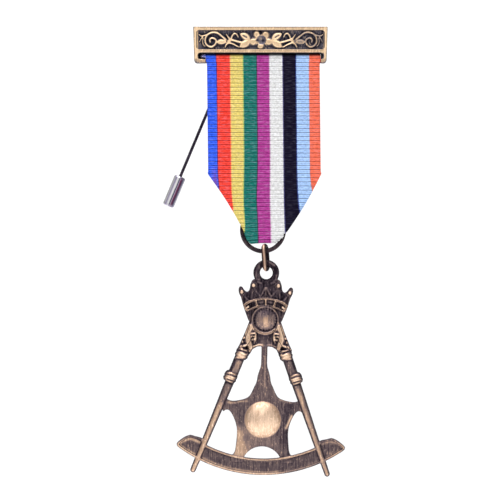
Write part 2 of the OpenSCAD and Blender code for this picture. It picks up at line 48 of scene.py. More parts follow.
MM = 0.001
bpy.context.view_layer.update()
Socket = bpy.types.NodeSocket
Colour = tuple[float, float, float]
Path = tuple[tuple[float, float], ...]
Span = tuple[float, float]

# Shared sizes of the construction, in millimetres
MID_Y = -1.7
EYE = Vector((1.67535, MID_Y, -66.1817))
JEWEL_TILT = math.radians(1.35)
BAR_MIDDLE = Vector((0.14, 0, 0))
RELIEF_TOP_Y = -3.2
PANEL_HALF_H = 2.68
RING_CENTRE = Vector((0.7404, MID_Y, -54.12))
RING_RADIUS = 5.925
RING_WIRE = 1.25
NEEDLE_ROOT = Vector((-7.2, 0.9, -1.406))
NEEDLE_ANGLE = math.radians(22.7)
NEEDLE_FREE = 40.5
CLUTCH_R = 1.65
CLUTCH_LEN = 9.1
LINK_LEAN = math.radians(4)
LINK_WIRE = 1.3
LINK_DEPTH = 3.2
LINK_STRAND = Vector((0.887, MID_Y, -60.0145))

# The drawing for the reliefs: its step in millimetres, the legs' angles in degrees, the rest in steps
DRAWING = 0.2844
LEG_ANGLE = 20.75
LEG_TURN = 0.5
LEG_APEX_DOWN = 22.15
ARC_MIDDLE = (-1.4, 58.7)

# Painted reflections across the clutch, as streaks from left to right
CLUTCH_REFLECTIONS = (
    (0.00, (0.42, 0.42, 0.43)), (0.12, (0.70, 0.69, 0.71)), (0.24, (0.36, 0.32, 0.48)),
    (0.33, (0.72, 0.68, 0.76)), (0.45, (0.92, 0.92, 0.90)), (0.52, (0.05, 0.05, 0.09)),
    (0.57, (0.06, 0.05, 0.10)), (0.61, (0.42, 0.35, 0.48)), (0.67, (0.12, 0.02, 0.045)),
    (0.79, (0.04, 0.018, 0.05)), (0.88, (0.10, 0.10, 0.15)), (1.00, (0.46, 0.46, 0.48)),
)


class Casting(Enum):
    """The two castings that are remade from the construction's solids."""

    BAR = "bar"
    JEWEL = "jewel"


@dataclass(frozen=True)
class Patina:
    """An antiqued metal: its colours from its dark hollows to where it is worn bright."""

    name: str
    slot: str
    colours: tuple[Colour, ...]
    metallic: float = 0.8
    rough_worn: float = 0.45
    rough_hollow: float = 0.6
    streak: float = 0.55
    blotch: float = 0.34
    glint: float = 0.30
    side_shade: float = 0.9
    bump: float = 0.25


BAR_PATINA = Patina("antique_brass", "bar_brass", (
    (0.008, 0.007, 0.012), (0.078, 0.072, 0.098), (0.25, 0.205, 0.195), (0.56, 0.385, 0.235),
    (0.91, 0.67, 0.43)), glint=0.46, side_shade=0.8)
JEWEL_PATINA = Patina("antique_bronze", "jewel_bronze", (
    (0.005, 0.003, 0.006), (0.060, 0.044, 0.054), (0.21, 0.150, 0.142), (0.50, 0.325, 0.222),
    (0.87, 0.65, 0.48)), streak=0.72)


class NodeSheet:
    """A material's node tree with short calls that add and link its nodes.

    A value that a call takes is a constant or another node's output. What it gives back is an output too.
    """

    def __init__(self, name: str) -> None:
        """Makes an empty material of that name."""
        self.material = bpy.data.materials.new(name)
        self.material.use_nodes = True
        self.tree = self.material.node_tree
        self.tree.nodes.clear()
        self.shader = self.add("ShaderNodeBsdfPrincipled")
        self.feed(self.add("ShaderNodeOutputMaterial"), "Surface", self.shader.outputs["BSDF"])

    def add(self, kind: str, **settings: object) -> bpy.types.Node:
        """Adds a node of a type, with values for its own properties."""
        node = self.tree.nodes.new(kind)
        for key, value in settings.items():
            setattr(node, key, value)
        return node

    def feed(self, node: bpy.types.Node, into: str | int, value: float | tuple | Socket) -> None:
        """Links an output to a node's input, or sets the input to a constant."""
        if isinstance(value, Socket):
            self.tree.links.new(value, node.inputs[into])
        else:
            node.inputs[into].default_value = value

    def place(self, scale: tuple[float, float, float] | None = None) -> Socket:
        """Object coordinates, as they are or with so many steps in a metre along each axis."""
        coords = self.add("ShaderNodeTexCoord").outputs["Object"]
        return self.scaled(coords, scale) if scale else coords

    def scaled(self, vector: Socket, scale: tuple[float, float, float]) -> Socket:
        """Coordinates multiplied by a number along each axis."""
        node = self.add("ShaderNodeMapping")
        self.feed(node, "Scale", scale)
        self.feed(node, "Vector", vector)
        return node.outputs["Vector"]

    def split(self, vector: Socket) -> tuple[Socket, Socket, Socket]:
        """The three parts of a vector."""
        node = self.add("ShaderNodeSeparateXYZ")
        self.feed(node, "Vector", vector)
        return tuple(node.outputs)

    def mark(self, name: str) -> Socket:
        """The value that the mesh carries under that name."""
        return self.add("ShaderNodeAttribute", attribute_name=name).outputs["Fac"]

    def noise(self, vector: Socket, scale: float, detail: float = 4, rough: float = 0.55) -> Socket:
        """A noise on coordinates, from 0 to 1."""
        node = self.add("ShaderNodeTexNoise")
        for into, value in (("Vector", vector), ("Scale", scale), ("Detail", detail), ("Roughness", rough)):
            self.feed(node, into, value)
        return node.outputs["Fac"]

    def math(self, operation: str, *values: float | Socket, clamp: bool = False) -> Socket:
        """Works out a value.

        Args:
            operation: the Math node's operation.
            values: its inputs in order.
            clamp: whether the result is kept from 0 to 1.

        Returns:
            The result.
        """
        node = self.add("ShaderNodeMath", operation=operation, use_clamp=clamp)
        for index, value in enumerate(values):
            self.feed(node, index, value)
        return node.outputs[0]

    def ramp(self, value: Socket, stops: list[tuple[float, float | Colour]], hard: bool = False) -> Socket:
        """Turns a value into colours.

        Args:
            value: what drives the ramp.
            stops: places in order, each with a colour or a level of grey.
            hard: whether the colours change without blending.

        Returns:
            The colour.
        """
        node = self.add("ShaderNodeValToRGB")
        node.color_ramp.interpolation = "CONSTANT" if hard else "LINEAR"
        elements = node.color_ramp.elements
        while len(elements) < len(stops):
            elements.new(1.0)
        for element, (place, colour) in zip(elements, stops):
            element.position = place
            element.color = (*(colour if isinstance(colour, tuple) else (colour,) * 3), 1)
        self.feed(node, "Fac", value)
        return node.outputs["Color"]

    def mix(self, factor: float | Socket, a: Colour | Socket, b: Colour | Socket,
            blend: str = "MIX") -> Socket:
        """Mixes colour b into colour a."""
        node = self.add("ShaderNodeMix", data_type="RGBA", blend_type=blend)
        for index, value in ((0, factor), (6, a), (7, b)):
            self.feed(node, index, (*value, 1) if isinstance(value, tuple) else value)
        return node.outputs[2]

    def bump(self, height: Socket, strength: float, distance: float) -> None:
        """Puts a bump on the shader's normal, with the height of a full step in metres."""
        node = self.add("ShaderNodeBump")
        for into, value in (("Strength", strength), ("Distance", distance), ("Height", height)):
            self.feed(node, into, value)
        self.feed(self.shader, "Normal", node.outputs["Normal"])


def patina_material(finish: Patina) -> bpy.types.Material:
    """Builds an antiqued metal that reads the marks wear, side and front of the piece's points.

    Args:
        finish: the patina's colours and strengths.

    Returns:
        The material.
    """
    sheet = NodeSheet(finish.name)
    wear_and_light, side, front = (sheet.mark(name) for name in ("wear_and_light", "side", "front"))
    grain = sheet.noise(sheet.place(), 900, 5, 0.6)
    streaks = sheet.noise(sheet.place((3000, 1500, 210)), 1, 3, 0.6)
    blotch = sheet.math("MULTIPLY", sheet.math("SUBTRACT", grain, 0.5), finish.blotch)
    lines = sheet.math("MULTIPLY", sheet.math("SUBTRACT", streaks, 0.5), finish.streak)
    calm = sheet.math("MULTIPLY_ADD", wear_and_light, -0.6, 1.15)
    plain = sheet.math("MULTIPLY_ADD", front, 0.65, 0.35)
    mottle = sheet.math("MULTIPLY", sheet.math("MULTIPLY", sheet.math("ADD", blotch, lines), calm), plain)
    fleck = sheet.noise(sheet.place((2600, 2600, 1100)), 1, 2, 0.7)
    glint = sheet.math("MULTIPLY", sheet.ramp(fleck, [(0.58, 0), (0.70, finish.glint)]), front)
    edge = sheet.ramp(side, [(0.10, 0), (0.55, 1)])
    shade = sheet.math("SUBTRACT", 1.0, sheet.math("MULTIPLY", edge, finish.side_shade))
    bare = sheet.math("ADD", wear_and_light, sheet.math("ADD", mottle, glint))
    level = sheet.math("MULTIPLY", bare, shade, clamp=True)
    steps = len(finish.colours) - 1
    colour = sheet.ramp(level, [(i / steps, colour) for i, colour in enumerate(finish.colours)])
    sheet.feed(sheet.shader, "Base Color", colour)
    rough = sheet.ramp(level, [(0.1, finish.rough_hollow), (0.8, finish.rough_worn)])
    sheet.feed(sheet.shader, "Roughness", rough)
    sheet.feed(sheet.shader, "Metallic", sheet.ramp(level, [(0.08, 0), (0.40, finish.metallic)]))
    sheet.shader.inputs["Specular IOR Level"].default_value = 0.12
    sheet.shader.inputs["Specular Tint"].default_value = (0.22, 0.17, 0.22, 1)
    sheet.bump(mottle, finish.bump, 0.00012)
    return sheet.material


def linked(name: str, data: bpy.types.ID) -> bpy.types.Object:
    """Makes an object of its data and puts it into the scene."""
    piece = bpy.data.objects.new(name, data)
    bpy.context.scene.collection.objects.link(piece)
    return piece


def add_object(name: str, mesh: bpy.types.Mesh, body: str) -> bpy.types.Object:
    """Links a finished mesh as a piece that rides on a body.

    Args:
        name: the piece's name.
        mesh: its mesh, in metres and in place.
        body: the body that it rides on.

    Returns:
        The new object.
    """
    piece = linked(name, mesh)
    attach(piece, body)
    LOG.info("%s: %d faces on %s", name, len(mesh.polygons), body)
    return piece


def finished(shape: bmesh.types.BMesh, name: str, scale: float = MM) -> bpy.types.Mesh:
    """Turns a shape into a smooth mesh with its faces outwards.

    Args:
        shape: the shape, which is freed.
        name: the mesh's name.
        scale: metres in the shape's unit.

    Returns:
        The mesh.
    """
    bmesh.ops.recalc_face_normals(shape, faces=shape.faces)
    shape.transform(Matrix.Scale(scale, 4))
    mesh = bpy.data.meshes.new(name)
    shape.to_mesh(mesh)
    shape.free()
    mesh.shade_smooth()
    return mesh


def applied(piece: bpy.types.Object, kind: str, **settings: object) -> None:
    """Puts a modifier on an object and applies it to its mesh.

    Args:
        piece: the object.
        kind: the modifier's type.
        settings: the modifier's values.
    """
    modifier = piece.modifiers.new(kind.lower(), kind)
    for key, value in settings.items():
        setattr(modifier, key, value)
    graph = bpy.context.evaluated_depsgraph_get()
    mesh = bpy.data.meshes.new_from_object(piece.evaluated_get(graph), preserve_all_data_layers=True,
                                           depsgraph=graph)
    piece.modifiers.clear()
    piece.data = mesh


def node_copy(node: str) -> bmesh.types.BMesh:
    """A merged copy of a CAD node's mesh, in millimetres."""
    shape = bmesh.new()
    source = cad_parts[node]
    shape.from_mesh(source.data)
    shape.transform(source.matrix_world)
    shape.transform(Matrix.Scale(1 / MM, 4))
    bmesh.ops.remove_doubles(shape, verts=shape.verts, dist=0.0005)
    return shape


@dataclass(frozen=True)
class Stroke:
    """One stroke of a relief: a smooth path that is raised, sunk, or only made lighter or darker: worn
    places, painted highlights and painted shade.

    Places and widths are in steps of the drawing, right of and below its origin. A width is half of the
    stroke's own. A height is in millimetres, and the level, worn places and painted highlights and shade
    alike, goes from 0, dark, to 1, bright. Hold says how fully the level covers what lies below, and fade how
    far it fades at the stroke's edge. A stroke with a twin is drawn on both sides.
    """

    path: Path
    width: float
    height: float = 0.0
    wear_and_light: float | None = None
    end_width: float | None = None
    leaf: bool = False
    twin: bool = True
    hold: float = 1.0
    fade: float = 1.1

    def curve(self) -> np.ndarray:
        """The path, smoothed through its points."""
        rough = np.array(self.path)
        if len(rough) == 2:
            return rough
        padded = np.vstack([2 * rough[0] - rough[1], rough, 2 * rough[-1] - rough[-2]])
        steps = np.arange(0, 1, 0.25)[:, None]
        spans = []
        for i in range(1, len(rough)):
            p0, p1, p2, p3 = padded[i - 1:i + 3]
            spans.append(p1 + (p2 - p0) * steps / 2 + (2 * p0 - 5 * p1 + 4 * p2 - p3) * steps ** 2 / 2
                         + (3 * p1 - p0 - 3 * p2 + p3) * steps ** 3 / 2)
        return np.vstack([*spans, rough[-1:]])

    def cover(self, places: np.ndarray) -> tuple[np.ndarray, np.ndarray]:
        """How fully the stroke covers each point of the drawing.

        Args:
            places: the points, in steps of the drawing.

        Returns:
            The rounded cover that heights follow, and the sharper one that wear follows.
        """
        rise, paint = np.zeros(len(places)), np.zeros(len(places))
        last = self.width if self.end_width is None else self.end_width
        widest = max(self.width, last)
        for side in ((1, -1) if self.twin else (1,)):
            line = self.curve() * (side, 1)
            reach = self.fade + 1.3 * widest
            near = np.flatnonzero(((places > line.min(0) - reach) & (places < line.max(0) + reach)).all(1))
            inside = self.depths(line, places[near], last)
            soft = np.clip(inside / 0.7 + 0.35, 0, 1)
            rise[near] = np.maximum(rise[near], soft * soft * (3 - 2 * soft))
            paint[near] = np.maximum(paint[near], np.clip(inside * widest / self.fade + 0.5, 0, 1))
        return rise, paint

    def depths(self, line: np.ndarray, places: np.ndarray, last: float) -> np.ndarray:
        """How deep places lie in the stroke, from 1 on its line to 0 at its edge."""
        inside = np.full(len(places), -9.0)
        for i, (start, span) in enumerate(zip(line, np.diff(line, axis=0))):
            along = np.clip(((places - start) @ span) / max(span @ span, 1e-9), 0, 1)
            gap = np.linalg.norm(places - start - along[:, None] * span, axis=1)
            share = (i + along) / (len(line) - 1)
            half = self.width + (last - self.width) * share
            if self.leaf:
                half = half * np.sin(np.pi * np.clip(share, 0.04, 0.97)) ** 0.8
            inside = np.maximum(inside, 1 - gap / half)
        return inside


def lone(path: Path, width: float, height: float = 0.0, wear_and_light: float | None = None,
         end_width: float | None = None, **more: float) -> Stroke:
    """A stroke that has no twin on the other side."""
    return Stroke(path, width, height, wear_and_light, end_width, twin=False, **more)


def at(x: float, y: float) -> Path:
    """The path of a round stroke at one place."""
    return (x, y), (x + 0.1, y + 0.1)


def on_leg(side: int, *steps: tuple[float, float]) -> Path:
    """Places on a compass leg.

    Args:
        side: 1 for the right leg and -1 for the left one.
        steps: distances from the legs' apex, each with a distance outwards from the leg's axis.

    Returns:
        The places on the drawing.
    """
    lean = math.radians(LEG_ANGLE - side * LEG_TURN)
    sin, cos = math.sin(lean), math.cos(lean)
    return tuple((side * (s * sin + out * cos), LEG_APEX_DOWN + s * cos - out * sin) for s, out in steps)


def on_arc(radius: float, *angles: float) -> Path:
    """Places on an arc of the jewel's sector.

    Args:
        radius: the arc's radius.
        angles: angles from its middle towards the right, in degrees.

    Returns:
        The places on the drawing.
    """
    x, y = ARC_MIDDLE
    return tuple((radius * math.sin(a) + x, radius * math.cos(a) + y) for a in map(math.radians, angles))


# Rims and lugs of the bar, with thin painted highlights along the rims, and the painted light on its panel's
# edges
RIM_MARKS = (
    lone(((-64, -11.2), (64, -11.2)), 1.9, wear_and_light=0.72),
    lone(((-64, -10.8), (64, -10.8)), 0.6, wear_and_light=0.90),
    lone(((-64, 11.4), (64, 11.4)), 1.9, wear_and_light=0.70),
    lone(((-64, 11.9), (64, 11.9)), 0.6, wear_and_light=0.90),
    Stroke(((64.9, -11), (64.9, 20)), 2.3, wear_and_light=0.94),
    Stroke(((64.6, -9), (64.6, 12)), 0.9, wear_and_light=1.0),
    Stroke(((66, 21.4), (55, 21.4)), 2.4, wear_and_light=0.66),
    lone(((-38, 8.6), (28, 8.6)), 0.6, wear_and_light=0.46, hold=0.8),
    lone(((-60, -8.1), (60, -8.1)), 0.5, wear_and_light=0.40, hold=0.7),
    lone(((-61, 5.4), (-61, 8)), 1.8, wear_and_light=0.46, hold=0.6),
    lone(((22, 7.9), (48, 8.6)), 1.0, wear_and_light=0.48, hold=0.6),
)

# The bar's scrolls with their sprigs
SCROLL_MARKS = (
    Stroke(((34.9, 0), (38.9, -3.3), (42.9, -6.4), (46.1, -7.3), (49.3, -7.1), (52.5, -5.7), (54.9, -2.9),
            (55.7, 0.8), (54.9, 4), (52.5, 6.4), (49.3, 7.1), (46.5, 5.5), (44.9, 2.8), (44.9, 0.3),
            (46.9, -1.3), (49.3, -1.7), (51.1, 0), (50.6, 2.3)), 1.3, 0.72, 0.92, 1.2),
    Stroke(((44, 2.5), (39.5, 2.1), (34.2, 2.4)), 3.2, 0.66, 0.88, leaf=True),
    Stroke(((31, -0.2), (32.6, -2.6), (34.7, -5.5)), 1.5, 0.66, 0.88, 0.7),
    Stroke(at(31.8, 1.6), 2.3, 0.62, 0.85),
    Stroke(((32.2, 3), (34.6, 4.9), (35.7, 7.4)), 1.3, 0.66, 0.88, 0.9),
    Stroke(((32.2, 3), (28.5, 4), (25.3, 5.6), (22.3, 7.3)), 1.2, 0.66, 0.88, 0.9),
    Stroke(((31, 0), (26.9, 0.8), (22.9, 2), (18.5, 2.9)), 1.3, 0.66, 0.88),
    Stroke(((29.9, 0), (28.6, -4), (26.5, -6.2), (24.1, -5.3), (22.8, -2.6)), 1.2, 0.66, 0.88, 0.9),
    Stroke(((52.5, -5.6), (55.5, -4.5), (59.3, -3.7), (62, -5.2)), 1.2, 0.6, 0.84, 0.7),
    Stroke(((58.3, -2.6), (59.8, -0.8), (61.4, 2.4)), 0.9, 0.6, 0.80, 0.7),
    Stroke(((57.6, -1.6), (58.3, 2), (57.5, 4.8), (55.9, 6.5)), 0.8, 0.6, 0.80),
)

# The leaves beside the bar's flower
LEAF_MARKS = (
    Stroke(((10.9, 0), (15.3, -3.2), (20.8, -5.9)), 3.9, 0.70, 0.90, leaf=True),
    Stroke(((17.8, -4.3), (14.4, -2.3)), 0.6, -0.25, 0.45),
    Stroke(((11.2, 2), (15.8, 4.2), (21.2, 7.2)), 4.2, 0.70, 0.86, leaf=True),
    Stroke(((11.8, 1.6), (7, 1.6)), 1.9, 0.62, 0.84),
)

# The bar's flower
FLOWER_MARKS = (
    lone(at(0.3, 0.6), 7.4, 0.60, 0.76),
    lone(at(-4.1, -5.4), 3.9, 0.66, 0.82),
    lone(at(4.7, -4.8), 4.2, 0.66, 0.76),
    Stroke(at(7.6, 2), 4.0, 0.66, 0.80),
    lone(at(-0.6, 6), 3.9, 0.66, 0.78),
    lone(at(0.5, 0.2), 4.6, -0.40, 0.34),
    # The light spot at the upper left of the sunken centre is a painted highlight
    lone(at(-0.9, -1.6), 1.6, 0.0, 0.56),
    lone(at(-4.0, 0.3), 1.0, -0.1, 0.05),
    lone(at(1.9, 0.6), 1.3, -0.1, 0.04),
    lone(at(-2.2, 2.6), 1.2, 0.0, 0.52),
    lone(((-0.3, -8.5), (-0.3, -6)), 1.0, -0.45, 0.16),
    Stroke(((3.4, 4.6), (5, 7)), 0.6, -0.25, 0.40),
)

# The slot's ends painted dark, as painted shade in its deep pockets, and the duller right scroll
BAR_SHADES = (
    lone(((-59.2, 16), (-57, 16)), 3.1, wear_and_light=0.0),
    lone(((60, 16), (59, 16)), 3.1, wear_and_light=0.0),
    lone(((41, -1), (55, 1)), 8.5, wear_and_light=0.34, hold=0.66, fade=4),
)

BAR_RELIEF = (*RIM_MARKS, *SCROLL_MARKS, *LEAF_MARKS, *FLOWER_MARKS, *BAR_SHADES)

# The star with its dome
STAR_MARKS = (
    lone(((0, 76), (0, 125)), 9, wear_and_light=0.36, end_width=20),
    lone(((0, 130), (0, 172)), 40, wear_and_light=0.36),
    lone(((25, 134), (23, 165)), 7, wear_and_light=0.22, fade=9),
    lone(((-26, 128), (-21, 142), (-22, 155)), 5, wear_and_light=0.30, fade=5),
    lone(((-24, 164), (-22, 183)), 8, wear_and_light=0.76, fade=10),
    lone(((-14, 164), (8, 170)), 6, wear_and_light=0.48, fade=8),
    lone(((25.5, 157), (27, 180)), 1.8, wear_and_light=0.10),
    lone(((0.3, 84), (0.6, 96), (1.4, 112)), 1.2, 0.12, 0.44),
    # Thin bright lines on the arms' upper edges and the right lower arm: painted highlights
    lone(((-35.9, 130.3), (-27.9, 130.7), (-23.9, 129.2), (-16, 128.8)), 0.6, wear_and_light=0.78),
    lone(((17.4, 126.8), (28.7, 129.2)), 0.6, wear_and_light=0.78),
    lone(((28.6, 142.4), (23.2, 155)), 0.9, wear_and_light=0.90),
    lone(at(-0.1, 146.7), 18.2, wear_and_light=0.84),
    # The dome's lower half made brighter: a painted highlight
    lone(at(-1.5, 151), 12, wear_and_light=0.90, hold=0.5, fade=12),
)

# The sector's arc
SECTOR_MARKS = (
    lone(on_arc(135.4, -36, -18, 0, 18, 36), 7.4, wear_and_light=0.33),
    lone(on_arc(141.8, -30, -15, 0, 8), 1.9, wear_and_light=0.76),
    lone(on_arc(141.8, 8, 18, 30), 1.4, wear_and_light=0.58),
    lone(on_arc(143.3, 10, 20, 31), 0.8, wear_and_light=0.12),
    lone(on_arc(141.6, 34, 31, 28), 1.6, wear_and_light=0.62),
    lone(on_arc(141.6, -35.5, -31, -28), 1.7, wear_and_light=0.84),
    lone(on_arc(128.6, -25, -10, 0, 10, 25), 1.3, wear_and_light=0.66),
    lone(((-84.9, 174.2), (-79.2, 170.3), (-72, 167.6), (-65.3, 169.9), (-61.4, 171.6)), 1.4, wear_and_light=0.78),
    lone(((59.4, 170), (67.1, 167.4), (75.5, 169.2), (81.1, 173)), 1.2, wear_and_light=0.66),
)

# The compass legs
LEG_MARKS = (
    lone(on_leg(1, (95, 0), (150, 0), (191, 0)), 4.8, wear_and_light=0.46, end_width=3.0),
    lone(on_leg(1, (100, -0.7), (150, -0.5), (189, 0)), 1.5, wear_and_light=0.64, end_width=1.2),
    lone(on_leg(-1, (95, 0), (150, 0), (191, 0)), 4.8, wear_and_light=0.54, end_width=3.2),
    lone(on_leg(-1, (100, 0.4), (150, 0.4), (190, 0)), 1.9, wear_and_light=0.70, end_width=1.8),
    lone(on_leg(-1, (93, 0), (112, 0)), 5, wear_and_light=0.36, fade=6, hold=0.8),
    lone(on_leg(-1, (168, 0), (188, 0)), 3, wear_and_light=0.72, fade=4, hold=0.7),
    lone(on_leg(1, (70, 0), (84, 0)), 5, wear_and_light=0.34),
    lone(((20, 89.8), (21.5, 93.5), (23.6, 99)), 0.9, wear_and_light=0.66),
    lone(on_leg(-1, (70, 0), (84, 0)), 5, wear_and_light=0.56),
    lone(((-19.8, 88.7), (-22.1, 94.3), (-24.8, 100)), 1.1, wear_and_light=0.76),
    lone(((-28.8, 87), (-30.3, 92.1), (-33, 97.4)), 1.3, wear_and_light=0.12),
    lone(((28.1, 86), (29.2, 90.7), (31.4, 95.5)), 1.3, wear_and_light=0.12),
)

# The legs' two knuckles
KNUCKLE_MARKS = (
    Stroke(((28.4, 82.6), (23.4, 83.4), (17.4, 84.2)), 4.1, 0.38, 0.84),
    Stroke(((26.5, 76), (20.8, 77), (14.6, 78.6)), 1.1, 0.30, 0.78),
    Stroke(((25.4, 77.6), (21.8, 78.8), (18, 80.4)), 0.7, -0.30, 0.14),
    Stroke(((28, 86.6), (24.4, 87.4), (21.6, 88.8)), 0.7, -0.10, 0.20),
    Stroke(((39, 104.6), (33.6, 105.4), (28, 106.8)), 3.0, 0.34, 0.84),
    Stroke(((37.4, 100.8), (32.2, 100.8), (26, 103.2)), 1.2, 0.30, 0.72),
    Stroke(((37.2, 102), (32.2, 103), (27.5, 104.6)), 0.6, -0.22, 0.30),
    Stroke(((36.8, 106.9), (33.4, 107.9), (29.4, 109.2)), 0.5, -0.22, 0.20),
    Stroke(((39.4, 108.4), (34, 109.5), (29.2, 111.2)), 0.9, 0.30, 0.88),
    Stroke(((39.3, 110.2), (35.2, 110.9), (31, 112.3)), 0.7, -0.10, 0.14),
)

# The eye
EYE_MARKS = (
    lone(((-9.6, -1), (-6.8, -6.8), (0, -9.6), (6.8, -6.8), (9.6, 0), (6.8, 6.8), (0, 9.8), (-6.8, 6.8),
          (-9.6, 1)), 4.2, wear_and_light=0.03),
    lone(((-7.3, -6.5), (-9.8, 0), (-7, 7)), 1.2, 0.10, 0.22),
    # Light marks low on both sides of the ring: painted highlights
    Stroke(((8, 9.3), (5.2, 10.6)), 1.2, 0.12, 0.44),
    Stroke(((10.6, 2), (9.5, 6), (7.5, 8.6)), 0.8, 0.06, 0.26),
    # A light mark on the ring's upper right: a painted highlight
    lone(((3, -10.6), (8, -7.4)), 0.7, wear_and_light=0.50),
)

# The crown's points
CROWN_MARKS = (
    lone(((-12, 21), (12, 21)), 11, wear_and_light=0.13, fade=5),
    Stroke(((11.2, 16.5), (8.5, 20.5), (5, 24.3)), 1.1, 0.20, 0.26, 0.9),
    Stroke(((12.8, 17), (13.6, 21), (14, 26)), 1.1, 0.20, 0.28, 0.9),
    Stroke(((0.8, 15.2), (2.8, 19.5), (5, 23.5)), 1.1, 0.20, 0.28, 0.9),
    Stroke(((20.5, 24.5), (18.6, 26.2), (17, 28.2)), 1.1, 0.20, 0.30, 0.8),
    Stroke(((24, 25), (23.6, 27.5), (22.8, 30)), 1.1, 0.20, 0.30, 0.8),
    Stroke(((25.6, 16.6), (23.6, 20.2)), 2.7, 0.30, 0.12),
    Stroke(((23.2, 20.7), (24.1, 19.5)), 2.2, 0.24, 0.78),
    Stroke(at(12.1, 12.8), 2.9, 0.26, 0.78),
    lone(((0, 15), (0, 24)), 0.6, 0.25, 0.50),
)

# The crown's headband
HEADBAND_MARKS = (
    Stroke(((20.2, 35), (14, 31.8), (8, 30), (0, 29)), 3.4, 0.0, 0.24),
    Stroke(((21.6, 32.6), (17.6, 30.2), (12.3, 27.9), (4.3, 26.3), (0, 26)), 1.4, 0.42, 0.68),
    Stroke(((21.6, 32.8), (20.4, 36), (18, 38.2)), 1.3, 0.42, 0.68),
    Stroke(((17.8, 38), (14, 36.2), (10.6, 34.8), (6, 33.6)), 1.1, 0.40, 0.66),
    Stroke(at(17.5, 34.4), 1.6, 0.40, 0.95),
    Stroke(((9.8, 29), (8.6, 33)), 1.7, 0.36, 0.66),
    lone(((0.4, 27), (0.4, 32)), 1.4, 0.32, 0.56),
    Stroke(((14.8, 32.6), (11.6, 30.9)), 1.0, -0.28, 0.12),
    Stroke(((6.5, 29.6), (3, 29)), 1.0, 0.10, 0.42),
)

# The disc in its rim, with painted reflection and highlight on its dome and painted glints on the rim
DISC_MARKS = (
    lone(at(0.3, 47), 14.2, wear_and_light=0.46),
    lone(at(0.3, 47), 11.9, wear_and_light=0.10),
    lone(at(0.3, 47), 10.1, wear_and_light=0.47),
    # The dome's darker top: a painted reflection
    lone(at(0.3, 40.5), 5.5, wear_and_light=0.24, fade=4),
    # A bright streak down the dome's middle: a painted highlight
    lone(((0.2, 45.5), (0.4, 48), (0.8, 51.5)), 3.4, wear_and_light=0.58, fade=3),
    lone(((0.2, 46.6), (0.5, 48), (0.8, 49.4)), 1.9, wear_and_light=0.82, fade=2.2),
    # The raised lower arc of the rim, made bright: painted glints
    lone(((11, 56.4), (5.9, 59.7), (0, 61), (-5.9, 59.7), (-11, 56.4)), 1.2, 0.25, 0.70),
)

# The legs' shoulders beside the disc
SHOULDER_MARKS = (
    Stroke(((14.6, 54.4), (17.2, 59.6), (17, 63.6), (16.4, 67.5), (15.3, 71.2), (14.2, 75)), 3.5, 0.50, 0.72,
           2.8),
    Stroke(((15.8, 71.2), (19, 72.9), (24.2, 74.2)), 1.3, 0.45, 0.74),
    Stroke(at(17.4, 75), 1.3, -0.25, 0.08),
    Stroke(((16.6, 76), (21, 76.2)), 0.8, -0.15, 0.12),
    Stroke(at(20.8, 65.6), 1.4, 0.40, 0.76),
    Stroke(at(21.9, 69.2), 1.5, 0.40, 0.76),
    Stroke(((21.2, 67.4), (20.4, 71)), 0.7, -0.20, 0.06),
    Stroke(((13.4, 60.9), (10, 60.6)), 0.9, 0.32, 0.86),
    Stroke(((12.9, 63.9), (9.6, 63.7)), 0.9, 0.32, 0.86),
    Stroke(((12, 67), (9.6, 66)), 1.2, 0.32, 0.90),
    Stroke(((9, 61.4), (8.8, 66.5), (10.4, 70.6)), 0.8, 0.30, 0.66),
    # The arch's edge is bright on the left half and dull on the right: a painted highlight on the left
    lone(((-12.5, 74.3), (-8.6, 72.7), (-5.4, 71.9), (-2.4, 72.2)), 0.8, 0.25, 0.88),
    lone(((12.5, 74.3), (8.6, 72.7), (5.4, 71.9), (2.4, 72.2)), 0.7, 0.20, 0.44),
)

JEWEL_RELIEF = (*STAR_MARKS, *SECTOR_MARKS, *LEG_MARKS, *KNUCKLE_MARKS, *EYE_MARKS, *CROWN_MARKS,
                *HEADBAND_MARKS, *DISC_MARKS, *SHOULDER_MARKS)


